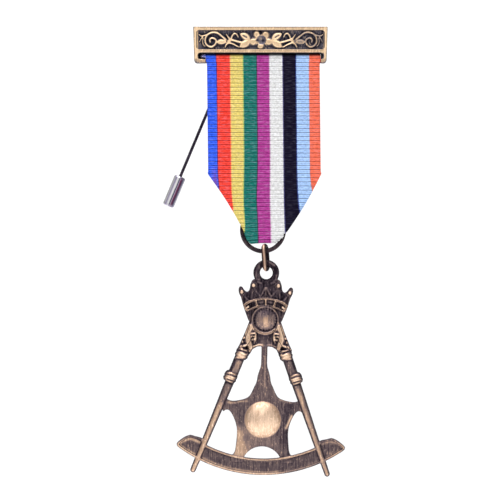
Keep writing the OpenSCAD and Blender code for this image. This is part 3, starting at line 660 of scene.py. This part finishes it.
@dataclass
class CastPiece:
    """A casting: one fine skin over its solid, carved, softened, and marked where it is worn and with painted
    highlights and shade.
    """

    node: Casting
    body: str
    finish: Patina
    voxel: float
    faces: int
    origin: Vector
    turn: float
    relief: tuple[Stroke, ...]
    base_wear: float
    back_wear: float = 0.34
    grain: float = 0.02
    border: float = 1.0
    rounding: float = 0.25
    edge_shade: float = 0.9
    front_gain: float = 2.5
    front_start: float = 0.2
    flatten: float | None = None
    seed: int = 7

    def skin(self) -> bpy.types.Object:
        """A fine even skin over the CAD solid, in millimetres and in the casting's own frame.

        Where flatten is given, the flat tops of the panel's relief are sunk to it, to be carved anew.
        """
        shape = node_copy(self.node.value)
        shape.transform(Matrix.Rotation(-self.turn, 4, "Y") @ Matrix.Translation(-self.origin))
        if self.flatten is not None:
            for vert in shape.verts:
                if abs(vert.co.y - RELIEF_TOP_Y) < 0.01 and abs(vert.co.z) < PANEL_HALF_H:
                    vert.co.y = self.flatten
        mesh = bpy.data.meshes.new(self.node.value + "_skin")
        shape.to_mesh(mesh)
        shape.free()
        piece = linked(self.node.value + "_skin", mesh)
        applied(piece, "REMESH", mode="VOXEL", voxel_size=self.voxel, use_smooth_shade=True)
        return piece

    def carve(self, mesh: bpy.types.Mesh) -> None:
        """Carves the relief into the skin's front and paints its worn places, painted highlights and shade,
        and painted shade at its outline.
        """
        skin = Skin(mesh)
        front = np.clip(-skin.normals[:, 1] * self.front_gain - self.front_start, 0, 1)
        places = skin.places[:, [0, 2]] * (1 / DRAWING, -1 / DRAWING)
        inside = skin.from_outline(self.border)
        lift = -self.rounding * (1 - inside) ** 2
        wear_and_light = np.full(skin.count, self.base_wear)
        for stroke in self.relief:
            rise, paint = stroke.cover(places)
            added = stroke.height * rise
            lift = np.maximum(lift, added) if stroke.height > 0 else lift + added
            if stroke.wear_and_light is not None:
                wear_and_light += (stroke.wear_and_light - wear_and_light) * paint * stroke.hold
        skin.places[:, 1] -= lift * front
        pits = skin.smoothed(np.random.default_rng(self.seed).normal(0, 1, (skin.count, 1)), 2)
        skin.places += skin.normals * pits * self.grain
        skin.places = skin.smoothed(skin.places)
        # Painted shade: darker towards the outline as seen from the front
        wear_and_light *= 1 - self.edge_shade * (1 - inside)
        skin.store(self.back_wear + (wear_and_light - self.back_wear) * front)

    def build(self) -> bpy.types.Object:
        """Makes the piece.

        Returns:
            The finished casting, which replaces its CAD node.
        """
        rough = self.skin()
        self.carve(rough.data)
        if 2 * len(rough.data.polygons) > self.faces:
            applied(rough, "TRIANGULATE")
            applied(rough, "DECIMATE", ratio=self.faces / len(rough.data.polygons))
        mesh = rough.data
        mesh.transform(Matrix.Rotation(self.turn, 4, "Y"))
        mesh.transform(Matrix.Scale(MM, 4) @ Matrix.Translation(self.origin))
        mesh.name = self.node.value + "_casting"
        bpy.data.objects.remove(rough)
        mesh.shade_smooth()
        piece = add_object(self.node.value + "_casting", mesh, self.body)
        mesh.materials.clear()
        mesh.materials.append(patina_material(self.finish))
        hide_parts(self.node.value)
        return piece


class Skin:
    """A mesh's points, normals and neighbours as arrays."""

    NEAR_ROUNDS = 5
    FAR_ROUNDS = 18
    FINE_CREST = 1.6
    WIDE_CREST = 0.8
    CREST_LIMITS = (-0.35, 0.12)
    CELL = 0.5

    def __init__(self, mesh: bpy.types.Mesh) -> None:
        """Reads the mesh."""
        self.mesh = mesh
        self.count = len(mesh.vertices)
        self.places = self.read("co")
        self.normals = self.read("normal")
        edges = np.empty(len(mesh.edges) * 2, int)
        mesh.edges.foreach_get("vertices", edges)
        self.ends = edges.reshape(-1, 2).T
        self.degree = np.bincount(edges, minlength=self.count)

    def read(self, what: str) -> np.ndarray:
        """One vector of every point."""
        values = np.empty(self.count * 3)
        self.mesh.vertices.foreach_get(what, values)
        return values.reshape(-1, 3)

    def smoothed(self, values: np.ndarray, rounds: int = 1) -> np.ndarray:
        """Each point's values averaged with its neighbours'.

        Args:
            values: one row for each point.
            rounds: how often they are averaged.

        Returns:
            The smoothed rows.
        """
        a, b = self.ends
        for _ in range(rounds):
            total = values.copy()
            for axis in range(values.shape[1]):
                total[:, axis] += np.bincount(a, values[b, axis], self.count)
                total[:, axis] += np.bincount(b, values[a, axis], self.count)
            values = total / (self.degree + 1)[:, None]
        return values

    def from_outline(self, reach: float) -> np.ndarray:
        """How deep each point lies inside the piece's outline as seen from the front.

        The points are marked on a raster of the drawing, which is blurred and read again.

        Args:
            reach: how far the outline's mark reaches in, in steps of the drawing.

        Returns:
            A value for each point, from 0 on the outline to 1 well inside it.
        """
        places = self.places[:, [0, 2]] / (DRAWING * self.CELL)
        margin = math.ceil(4 * reach / self.CELL)
        spots = places - np.floor(places.min(0)) + margin
        i, j = spots.astype(int).T
        raster = np.zeros((i.max() + margin, j.max() + margin))
        raster[i, j] = 1
        offsets = np.arange(-margin, margin + 1) * self.CELL / reach
        weights = np.exp(-offsets ** 2 / 2)
        weights /= weights.sum()
        for axis in (0, 1):
            raster = sum(w * np.roll(raster, k - margin, axis) for k, w in enumerate(weights))
        corners = np.floor(spots - 0.5)
        i, j = corners.astype(int).T
        s, r = (spots - 0.5 - corners).T
        blurred = ((1 - s) * (1 - r) * raster[i, j] + s * (1 - r) * raster[i + 1, j]
                   + (1 - s) * r * raster[i, j + 1] + s * r * raster[i + 1, j + 1])
        return np.clip(2.2 * (blurred - 0.5), 0, 1)

    def store(self, wear_and_light: np.ndarray) -> None:
        """Writes the points back with the marks that the patina reads.

        Args:
            wear_and_light: the painted level of each point, for worn places, painted highlights and painted
                shade, to which crests add and hollows take away.
        """
        mesh = self.mesh
        mesh.vertices.foreach_set("co", self.places.ravel())
        mesh.update()
        self.normals = self.read("normal")
        near = self.smoothed(self.places, self.NEAR_ROUNDS)
        far = self.smoothed(near, self.FAR_ROUNDS)
        fine = ((self.places - near) * self.normals).sum(1)
        wide = ((self.places - far) * self.normals).sum(1)
        level = wear_and_light + np.clip(self.FINE_CREST * fine + self.WIDE_CREST * wide, *self.CREST_LIMITS)
        facing = -self.normals[:, 1]
        marks = {"wear_and_light": np.clip(self.smoothed(level[:, None])[:, 0], 0, 1), "side": 1 - np.abs(facing),
                 "front": np.clip(0.5 + 2 * facing, 0, 1)}
        for name, values in marks.items():
            mesh.attributes.new(name, "FLOAT", "POINT").data.foreach_set("value", values.astype(np.float32))


# The ribbon's stripes from left to right, with thin seams between them: shares of the width and colours
STRIPES: tuple[tuple[float, Colour], ...] = (
    (8.9, (0.030, 0.104, 0.78)), (1.0, (0.09, 0.026, 0.11)),
    (13.0, (0.82, 0.050, 0.031)), (0.8, (0.82, 0.34, 0.10)),
    (11.9, (0.69, 0.55, 0.145)), (0.8, (0.26, 0.44, 0.12)),
    (12.6, (0.009, 0.150, 0.121)), (0.9, (0.05, 0.03, 0.06)),
    (12.0, (0.37, 0.039, 0.246)), (0.8, (0.62, 0.42, 0.58)),
    (12.5, (0.64, 0.64, 0.64)), (0.8, (0.08, 0.07, 0.20)),
    (12.6, (0.005, 0.003, 0.013)), (0.9, (0.03, 0.05, 0.22)),
    (12.0, (0.336, 0.50, 0.81)), (0.8, (0.42, 0.26, 0.24)),
    (10.6, (0.825, 0.146, 0.079)),
)


def bell(value: float, middle: float, spread: float) -> float:
    """A smooth bump of height 1 round a middle value."""
    return math.exp(-((value - middle) / spread) ** 2)


def wave(value: float, rate: float, start: float) -> float:
    """A sine wave along a value."""
    return math.sin(value * rate + start)


@dataclass
class Ribbon:
    """The folded grosgrain band: front layer, loop over the rail, back layer and blunt point.

    The layers close up below the loop and sway a little. Flare and skew spread the edges in the slot, wander
    bends the left half low down, bow lets the diagonal edges bulge, and slip moves the point's left corner
    left and down. What is given as down or across is a middle and a reach, for sway a rate and a start. The
    loop's shade gives the light by the length that is left of the band.
    """

    width: float = 32.0
    thickness: float = 0.5
    shift: float = 0.8
    lean: float = math.radians(0.6)
    loop_z: float = -5.25
    loop_r: float = 1.27
    hang_r: float = 0.96
    corner_z: float = -37.55
    point_z: float = -56.6
    point_w: float = 8.7
    rib_pitch: float = 0.585
    rib_depth: float = 0.055
    rows_per_rib: int = 4
    columns: int = 40
    hem: float = 2.6
    fold_step: float = 0.30
    closing: float = 5.0
    sway: float = 0.06
    sway_down: Span = (0.21, 0.6)
    sway_across: Span = (0.16, 0.4)
    skew: float = 0.25
    flare: float = 0.33
    flare_down: Span = (0.3, 0.9)
    wander: float = 0.42
    wander_down: Span = (40, 7)
    wander_across: Span = (-3, 5)
    bow: float = 0.62
    slip: Span = (0.42, 0.28)
    slip_reach: float = 1.8
    slip_run: Span = (5.0, 4.0)
    ring_room: float = 0.25
    layer_room: float = 0.2
    loop_shade: Path = ((5.5, 1), (5.0, 0.05), (1.0, 0.05), (0.3, 1))

    @property
    def drop(self) -> float:
        """Length of each hanging layer, from the loop's middle to the point's fold."""
        return self.loop_z - self.point_z

    @property
    def length(self) -> float:
        """Length of the whole band, which is joined end to end at the back of the loop."""
        return 2 * self.drop + math.pi * (self.loop_r + self.hang_r)

    @property
    def back_start(self) -> float:
        """Distance along the band at which its back layer starts, behind the point's fold."""
        return self.drop + math.pi * self.hang_r

    def place(self, x: float, off: float, s: float) -> Vector:
        """Where a point of the flat band lies once it is folded.

        Args:
            x: distance from the band's middle line.
            off: distance off the band towards its inner side.
            s: distance along the band, from the front of the loop down, round the point and up the back.

        Returns:
            The point, in millimetres.
        """
        up = s - self.back_start
        if up >= self.drop:
            return self.over_rail(x, off, min((up - self.drop) / self.loop_r, math.pi))
        z, angle, side = self.loop_z - s, 0.0, -1
        if s >= self.drop:
            z, angle = self.point_z, (s - self.drop) / self.hang_r
        if up >= 0:
            z, angle, side = self.point_z + up, 0.0, 1
        down = max(self.loop_z - z, 0)
        ease = min(down / self.closing, 1.0)
        y = MID_Y + side * (self.loop_r + (self.hang_r - self.loop_r) * ease * ease * (3 - 2 * ease) - off)
        if angle > 0:
            y = MID_Y - (self.hang_r - off) * math.cos(angle)
            z -= (self.hang_r - off) * math.sin(angle)
        y += side * ease * self.sway * wave(down, *self.sway_down) * wave(x, *self.sway_across)
        start, run = self.slip_run
        low = min(max((down - self.drop + start) / run, 0), 1) * bell(x, -self.point_w / 2, self.slip_reach)
        bent = self.wander * bell(down, *self.wander_down) * bell(x, *self.wander_across) + self.slip[0] * low
        taper = (down - self.loop_z + self.corner_z) / (self.corner_z - self.point_z)
        if 0 < taper < 1:
            half_w = (self.width + (self.point_w - self.width) * taper) / 2
            bent -= self.bow * math.sin(math.pi * taper) * min(abs(x) / half_w, 1) ** 4
        spread = self.flare * bell(down, *self.flare_down)
        z -= self.slip[1] * low
        x = self.widened(x, spread, spread) - bent + (self.loop_z - z) * math.tan(self.lean)
        return Vector((x + self.shift, y, z))

    def over_rail(self, x: float, off: float, turn: float) -> Vector:
        """Where a point of the loop over the rail lies, by its angle from the loop's back."""
        r = self.loop_r - off
        spread = 0.9 * self.flare * min(turn, 1)
        x = self.widened(x, spread + self.skew * math.sin(turn), spread)
        return Vector((x + self.shift, MID_Y + r * math.cos(turn), self.loop_z + r * math.sin(turn)))

    def widened(self, x: float, left: float, right: float) -> float:
        """A place across the band, once its edges have moved out by the given distances."""
        return x + (right if x > 0 else -left) * (2 * x / self.width) ** 4

    def folds(self) -> list[tuple[Vector, Vector, bool]]:
        """The four diagonal folds on the flat band: a point, the way out, and if it is in front."""
        corner_s = self.loop_z - self.corner_z
        found = []
        for side in (-1, 1):
            for front in (True, False):
                corner_along = corner_s if front else self.back_start + self.drop - corner_s
                corner = Vector((side * self.width / 2, 0, corner_along))
                tip = Vector((side * self.point_w / 2, 0, self.drop if front else self.back_start))
                along = (tip - corner).normalized()
                out = Vector((side * abs(along.z), 0, abs(along.x) * (1 if front else -1)))
                found.append((corner, out.normalized(), front))
        return found

    def flat_band(self) -> bmesh.types.BMesh:
        """The flat band with its hems folded in, with X across, Y off the band and Z along it."""
        shape = bmesh.new()
        rows = round(self.length / self.rib_pitch) * self.rows_per_rib
        bmesh.ops.create_grid(shape, x_segments=self.columns, y_segments=rows, size=0.5)
        for vert in shape.verts:
            vert.co = Vector((vert.co.x * self.width, 0, (vert.co.y + 0.5) * self.length))
        middle = (self.drop + self.back_start) / 2
        for corner, out, front in self.folds():
            for offset in (0, self.fold_step, 2 * self.fold_step, self.hem):
                half = [f for f in shape.faces if (f.calc_center_median().z < middle) == front]
                # Keys keep their order, a set's members don't, and the cut follows the order it is given
                edges = dict.fromkeys(e for f in half for e in f.edges)
                verts = dict.fromkeys(v for f in half for v in f.verts)
                bmesh.ops.bisect_plane(shape, geom=[*half, *edges, *verts], dist=0.0001,
                                       plane_co=corner + offset * out, plane_no=out,
                                       clear_outer=offset == self.hem)
        uv = shape.loops.layers.uv.new("band")
        for face in shape.faces:
            for loop in face.loops:
                loop[uv].uv = (loop.vert.co.x / self.width + 0.5, loop.vert.co.z / self.length)
        moved: list[tuple[bmesh.types.BMVert, Vector]] = []
        for corner, out, front in self.folds():
            for vert in shape.verts:
                reach = (vert.co - corner).dot(out)
                if (vert.co.z < middle) == front and reach > 0.001:
                    moved.append((vert, self.folded(vert.co, reach, out)))
        for vert, place in moved:
            vert.co = place
        return shape

    def folded(self, place: Vector, reach: float, out: Vector) -> Vector:
        """Where a hem's point lies once the hem is turned in by three bends of 60 degrees."""
        across, inward, left = 0.0, 0.0, reach
        for step in range(3):
            part = min(left, self.fold_step) if step < 2 else left
            angle = math.radians(60 * (step + 1))
            across += part * math.cos(angle)
            inward += part * math.sin(angle)
            left -= part
        return place + (across - reach) * out + Vector((0, inward, 0))

    def is_crowded(self, face: bmesh.types.BMFace) -> bool:
        """Whether a face of the turned-in hem would lie in the ring's wire."""
        middle = face.calc_center_median()
        gap = abs(math.hypot(middle.x - RING_CENTRE.x, middle.z - RING_CENTRE.z) - RING_RADIUS)
        return gap < RING_WIRE / 2 + self.ring_room and abs(middle.y - MID_Y) < self.hang_r - self.layer_room

    def build(self) -> bpy.types.Object:
        """Makes the ribbon.

        Returns:
            The ribbon, which replaces its CAD solid.
        """
        shape = self.flat_band()
        for vert in shape.verts:
            x, off, s = vert.co
            rib = self.rib_depth * (0.5 - 0.5 * math.cos(2 * math.pi * s / self.rib_pitch))
            vert.co = self.place(x, off + rib, s)
        bmesh.ops.delete(shape, geom=[face for face in shape.faces if self.is_crowded(face)], context="FACES")
        piece = add_object("ribbon_cloth", finished(shape, "ribbon_cloth"), "root")
        applied(piece, "SOLIDIFY", thickness=self.thickness * MM, offset=0.0)
        piece.data.materials.append(self.material())
        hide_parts("ribbon")
        return piece

    def material(self) -> bpy.types.Material:
        """Grosgrain in lengthwise stripes, from the band's own UV map, with painted sheen on its threads and
        painted shade in its grooves and on the loop.

        Returns:
            The material.
        """
        sheet = NodeSheet("striped_grosgrain")
        band = sheet.add("ShaderNodeUVMap", uv_map="band").outputs["UV"]
        across, along, _ = sheet.split(band)
        colours = self.stripes(sheet, band, across, along)
        grey = sheet.add("ShaderNodeRGBToBW")
        sheet.feed(grey, "Color", colours)
        bright = grey.outputs[0]
        threads = sheet.scaled(band, (self.width * 1.1, self.length / self.rib_pitch, 1))
        lint = sheet.noise(threads, 1.3, 3, 0.7)
        tinted = sheet.mix(1.0, colours, sheet.ramp(lint, [(0.35, 0.72), (0.65, 1.16)]), "MULTIPLY")
        # Painted sheen: light streaks along the threads, fainter on the black stripe
        sheen_noise = sheet.noise(sheet.scaled(band, (self.width * 0.5, self.length / 0.24, 1)), 1.0, 2, 0.6)
        painted_sheen = sheet.math("MULTIPLY", sheet.ramp(sheen_noise, [(0.50, 0), (0.72, 0.42)]),
                           sheet.ramp(bright, [(0.01, 0.3), (0.06, 1)]))
        tinted = sheet.mix(painted_sheen, tinted, (0.24, 0.25, 0.34), "ADD")
        shaded = sheet.mix(self.grooves(sheet, along, bright), tinted, (0.0, 0.0, 0.01))
        under = sheet.ramp(along, [(1 - left / self.length, level) for left, level in self.loop_shade])
        sheet.feed(sheet.shader, "Base Color", sheet.mix(1.0, shaded, under, "MULTIPLY"))
        sheet.shader.inputs["Roughness"].default_value = 0.75
        sheet.shader.inputs["Specular IOR Level"].default_value = 0.05
        weave = sheet.noise(sheet.scaled(band, (self.width / 0.16, self.length / 0.5, 1)), 1.0, 2, 0.5)
        sheet.bump(weave, 0.35, 0.00005)
        return sheet.material

    def stripes(self, sheet: NodeSheet, band: Socket, across: Socket, along: Socket) -> Socket:
        """The stripes' colours, with edges that wander, and red that shines through the blue one in front."""
        wobble = sheet.noise(sheet.scaled(band, (self.width, self.length, 1)), 1.4, 2)
        place = sheet.math("ADD", across, sheet.math("MULTIPLY_ADD", wobble, 0.006, -0.003))
        total = sum(width for width, _ in STRIPES)
        stops, edge = [], 0.0
        for width, colour in STRIPES:
            stops.append((edge / total, colour))
            edge += width
        low = sheet.ramp(along, [(30 / self.length, 0), (35 / self.length, 0.75), (0.5, 0)])
        near_red = sheet.ramp(across, [(0.02, 0), (0.06, 1), (0.0835, 0)])
        colours = sheet.ramp(place, stops, hard=True)
        return sheet.mix(sheet.math("MULTIPLY", low, near_red), colours, (0.24, 0.06, 0.30))

    def grooves(self, sheet: NodeSheet, along: Socket, bright: Socket) -> Socket:
        """How much painted shade lies in the grooves between ribs: each second one is deeper, and light
        stripes' ones faint.
        """
        ribs = sheet.math("MULTIPLY", along, self.length / self.rib_pitch)
        fold = sheet.math("ABSOLUTE", sheet.math("SUBTRACT", sheet.math("FRACT", ribs), 0.5))
        pair = sheet.math("COSINE", sheet.math("MULTIPLY", ribs, math.pi))
        depth = sheet.math("MULTIPLY", sheet.math("MULTIPLY_ADD", pair, 0.30, 0.55),
                           sheet.ramp(bright, [(0.54, 1), (0.62, 0.5)]))
        return sheet.math("MULTIPLY", sheet.ramp(fold, [(0.26, 0), (0.50, 1)]), depth)


@dataclass
class Fray:
    """The loose threads at the ribbon's upper left edge, in the end of the slot."""

    ribbon: Ribbon
    count: int = 22
    radius: float = 0.075
    taper: float = 0.6
    root: float = 0.2
    turns: Span = (105, 165)
    reach: Span = (0.5, 1.35)
    droop: Span = (-0.05, 0.25)
    high_droop: float = 0.35
    swing: Span = (0, 0.15)
    seed: int = 11

    def thread(self, shape: bmesh.types.BMesh, turn: float, reach: float, droop: float, swing: float) -> None:
        """Adds one thread that starts in the ribbon's edge.

        Args:
            shape: the mesh that takes it.
            turn: where it starts, as the angle round the loop.
            reach: its length to the left.
            droop: how far its end hangs below its start.
            swing: how far its end swings to the front.
        """
        band = self.ribbon
        edge = band.place(-band.width / 2, 0, band.back_start + band.drop + turn * band.loop_r)
        before = len(shape.verts)
        bmesh.ops.create_cone(shape, cap_ends=True, segments=6, radius1=self.radius,
                              radius2=self.taper * self.radius, depth=1.0)
        shape.verts.ensure_lookup_table()
        sides = {e for v in shape.verts[before:] for e in v.link_edges
                 if abs(e.verts[0].co.z - e.verts[1].co.z) > 0.5}
        bmesh.ops.subdivide_edges(shape, edges=list(sides), cuts=4)
        shape.verts.ensure_lookup_table()
        for vert in shape.verts[before:]:
            share = vert.co.z + 0.5
            vert.co = edge + Vector((self.root - (self.root + reach) * share, vert.co.y - swing * share ** 2,
                                     vert.co.x - droop * share ** 2))

    def build(self) -> bpy.types.Object:
        """Makes the threads.

        Returns:
            The piece, which rides with the ribbon.
        """
        rng = np.random.default_rng(self.seed)
        shape = bmesh.new()
        for turn in np.radians(np.linspace(*self.turns, self.count)):
            reach = rng.uniform(*self.reach)
            droop = rng.uniform(*self.droop) + self.high_droop * math.sin(turn)
            self.thread(shape, turn, reach, droop, rng.uniform(*self.swing))
        mesh = finished(shape, "ribbon_fray")
        mesh.materials.append(self.material())
        return add_object("ribbon_fray", mesh, "root")

    def material(self) -> bpy.types.Material:
        """Pale lavender to blue thread."""
        sheet = NodeSheet("loose_thread")
        tone = sheet.noise(sheet.place(), 2600, 2, 0.6)
        colour = sheet.ramp(tone, [(0.35, (0.10, 0.12, 0.42)), (0.62, (0.52, 0.48, 0.68))])
        sheet.feed(sheet.shader, "Base Color", colour)
        sheet.shader.inputs["Roughness"].default_value = 0.8
        sheet.shader.inputs["Specular IOR Level"].default_value = 0.15
        return sheet.material


def wire_material(name: str, dark: Colour, light: Colour, rough: float) -> bpy.types.Material:
    """Drawn wire with a mottled antique finish.

    Args:
        name: the material's name.
        dark: colour of the tarnish.
        light: colour where it is rubbed.
        rough: roughness.

    Returns:
        The material.
    """
    sheet = NodeSheet(name)
    mottle = sheet.noise(sheet.place(), 700, 4, 0.6)
    sheet.feed(sheet.shader, "Base Color", sheet.ramp(mottle, [(0.38, dark), (0.68, light)]))
    sheet.shader.inputs["Metallic"].default_value = 0.2
    sheet.shader.inputs["Roughness"].default_value = rough
    sheet.shader.inputs["Specular IOR Level"].default_value = 0.15
    sheet.shader.inputs["Specular Tint"].default_value = (0.25, 0.20, 0.25, 1)
    sheet.bump(sheet.noise(sheet.place(), 5200, 2, 0.5), 0.2, 0.00003)
    return sheet.material


def link_material() -> bpy.types.Material:
    """Bronze wire with a painted highlight along the middle of its front strand, and painted shade at its
    sides and on the strand behind.

    Returns:
        The material.
    """
    sheet = NodeSheet("bronze_wire")
    x, y, z = sheet.split(sheet.place())
    depth = sheet.math("MULTIPLY_ADD", y, -1 / (LINK_DEPTH * MM), MID_Y / LINK_DEPTH + 0.5)
    lean = math.tan(LINK_LEAN)
    slope = sheet.math("MULTIPLY_ADD", z, lean, -(LINK_STRAND.x + LINK_STRAND.z * lean) * MM)
    across = sheet.math("MULTIPLY_ADD", sheet.math("ADD", x, slope), 1 / (LINK_WIRE * MM), 0.5)
    streaks = sheet.noise(sheet.place((2600, 1200, 420)), 1, 3, 0.6)
    mottle = sheet.math("MULTIPLY_ADD", streaks, 0.3, -0.15)
    # Painted highlight in the strand's middle and painted shade at its sides
    strand = sheet.ramp(sheet.math("ADD", across, mottle), [
        (0.20, (0.018, 0.010, 0.014)), (0.38, (0.26, 0.15, 0.105)), (0.55, (0.60, 0.42, 0.31)),
        (0.72, (0.24, 0.15, 0.11)), (0.92, (0.016, 0.010, 0.013))])
    # Painted shade: the strand behind is dark
    front = sheet.ramp(sheet.math("ADD", depth, mottle), [(0.52, 0), (0.72, 1)])
    sheet.feed(sheet.shader, "Base Color", sheet.mix(front, (0.014, 0.009, 0.012), strand))
    sheet.shader.inputs["Metallic"].default_value = 0.45
    sheet.shader.inputs["Roughness"].default_value = 0.42
    sheet.shader.inputs["Specular IOR Level"].default_value = 0.3
    sheet.shader.inputs["Specular Tint"].default_value = (0.25, 0.20, 0.25, 1)
    return sheet.material


def clutch_material() -> bpy.types.Material:
    """Polished nickel with painted reflections: dark and light streaks along the barrel.

    Returns:
        The material.
    """
    sheet = NodeSheet("nickel")
    barrel = sheet.add("ShaderNodeMapping", vector_type="TEXTURE")
    barrel.inputs["Location"].default_value = NEEDLE_ROOT * MM
    barrel.inputs["Rotation"].default_value = (0, NEEDLE_ANGLE, 0)
    barrel.inputs["Scale"].default_value = (CLUTCH_R * MM, 1, CLUTCH_LEN * MM)
    sheet.feed(barrel, "Vector", sheet.place())
    x, _, z = sheet.split(barrel.outputs["Vector"])
    grain = sheet.noise(sheet.place((900, 900, 900)), 1, 3)
    across = sheet.math("ADD", sheet.math("MULTIPLY_ADD", x, 0.5, 0.5),
                        sheet.math("MULTIPLY_ADD", grain, 0.06, -0.03))
    along = sheet.math("MULTIPLY_ADD", z, -1.0, -NEEDLE_FREE / CLUTCH_LEN)
    ends = sheet.ramp(along, [(0.04, 1), (0.10, 0), (0.90, 0), (0.96, 1)])
    colour = sheet.mix(sheet.math("MULTIPLY", ends, 0.6), sheet.ramp(across, list(CLUTCH_REFLECTIONS)),
                       (0.26, 0.24, 0.31))
    sheet.feed(sheet.shader, "Base Color", colour)
    sheet.shader.inputs["Metallic"].default_value = 0.7
    sheet.shader.inputs["Roughness"].default_value = 0.26
    sheet.shader.inputs["Specular Tint"].default_value = (0.35, 0.34, 0.40, 1)
    return sheet.material


def dress_node(node: str, material: bpy.types.Material) -> None:
    """Gives a carried-over CAD node its material."""
    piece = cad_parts[node]
    piece.data.materials.clear()
    piece.data.materials.append(material)
    LOG.info("%s keeps its solid, in %s", node, material.name)


@dataclass(frozen=True)
class Lamp:
    """A round soft light: its place, size and target in metres, and its power in watts."""

    name: str
    place: tuple[float, float, float]
    size: float
    power: float
    target: tuple[float, float, float]


@dataclass
class Studio:
    """The pale room, the lights and the camera. Sizes of the room are in metres."""

    field_width: float = 500 * DRAWING
    distance: float = 900.0
    sensor: float = 36.0
    aim: Vector = field(default_factory=lambda: Vector((-2.958, MID_Y, -59.71)))
    half_width: float = 1.8
    floor: float = -0.20
    front: float = -1.6
    back: float = 1.60
    top: float = 1.8
    bend: float = 0.35
    bend_steps: int = 8
    daylight: float = 0.20

    def camera(self) -> None:
        """Makes the camera, square to the jewel's front."""
        data = bpy.data.cameras.new("camera")
        data.sensor_width = self.sensor
        data.lens = self.sensor * self.distance / self.field_width
        data.clip_start, data.clip_end = 0.05, 20
        camera = linked("camera", data)
        camera.location = (self.aim + Vector((0, -self.distance, 0))) * MM
        camera.rotation_euler = (math.pi / 2, 0, 0)
        bpy.context.scene.camera = camera

    def sweep(self) -> None:
        """Makes the floor and the backdrop as one curved sheet."""
        shape = bmesh.new()
        profile = [(self.front, self.floor), (self.back - self.bend, self.floor)]
        for step in range(1, self.bend_steps + 1):
            angle = math.pi / 2 * step / self.bend_steps
            profile.append((self.back - self.bend + self.bend * math.sin(angle),
                            self.floor + self.bend - self.bend * math.cos(angle)))
        profile.append((self.back, self.top))
        verts = [shape.verts.new((-self.half_width, y, z)) for y, z in profile]
        edges = [shape.edges.new(pair) for pair in zip(verts, verts[1:])]
        bmesh.ops.extrude_edge_only(shape, edges=edges)
        for vert in shape.verts:
            if vert not in verts:
                vert.co.x = self.half_width
        mesh = finished(shape, "sweep", scale=1)
        sheet = NodeSheet("pale_paper")
        paper = sheet.noise(sheet.place(), 3, 2)
        sheet.feed(sheet.shader, "Base Color", sheet.ramp(paper, [(0.3, 0.93), (0.7, 0.96)]))
        sheet.shader.inputs["Roughness"].default_value = 0.9
        mesh.materials.append(sheet.material)
        linked("sweep", mesh)

    def lights(self) -> None:
        """Makes two soft boxes, a lamp above, one for the backdrop and the room's even light."""
        jewel = tuple(self.aim * MM)
        for lamp in (
            Lamp("key", (-0.25, -0.75, 0.50), 0.8, 3.15, jewel),
            Lamp("fill", (0.55, -0.80, -0.10), 0.8, 1.26, jewel),
            Lamp("top", (0.0, 0.05, 0.75), 1.0, 20.0, (0, 0.45, -0.05)),
            Lamp("backdrop", (0.0, 0.60, 1.30), 1.0, 4.0, (0, self.back, 1.0)),
        ):
            data = bpy.data.lights.new(lamp.name, "AREA")
            data.shape, data.size, data.energy = "DISK", lamp.size, lamp.power
            light = linked(lamp.name, data)
            light.location = lamp.place
            way = Vector(lamp.target) - Vector(lamp.place)
            light.rotation_euler = way.to_track_quat("-Z", "Y").to_euler()
        world = bpy.data.worlds.new("room")
        world.use_nodes = True
        background = world.node_tree.nodes["Background"]
        background.inputs["Color"].default_value = (1, 1, 1, 1)
        background.inputs["Strength"].default_value = self.daylight
        bpy.context.scene.world = world

    def build(self) -> None:
        """Makes the whole studio."""
        self.camera()
        self.sweep()
        self.lights()
        bpy.context.scene.view_settings.view_transform = "Standard"


def main() -> None:
    """Builds the studio and every piece in order."""
    Studio().build()
    ribbon = Ribbon()
    ribbon.build()
    Fray(ribbon).build()
    CastPiece(Casting.BAR, "root", BAR_PATINA, voxel=0.105, faces=190000, origin=BAR_MIDDLE, turn=0,
              relief=BAR_RELIEF, base_wear=0.22, flatten=-2.6).build()
    CastPiece(Casting.JEWEL, "jewel_body", JEWEL_PATINA, voxel=0.125, faces=195000, origin=EYE,
              turn=JEWEL_TILT, relief=JEWEL_RELIEF, base_wear=0.23).build()
    dress_node("ring", wire_material("dark_bronze_wire", (0.012, 0.008, 0.012), (0.058, 0.041, 0.045), 0.38))
    dress_node("link", link_material())
    dress_node("needle", wire_material("dark_steel", (0.014, 0.010, 0.018), (0.050, 0.040, 0.058), 0.50))
    dress_node("clutch", clutch_material())


if __name__ == "__main__":
    main()
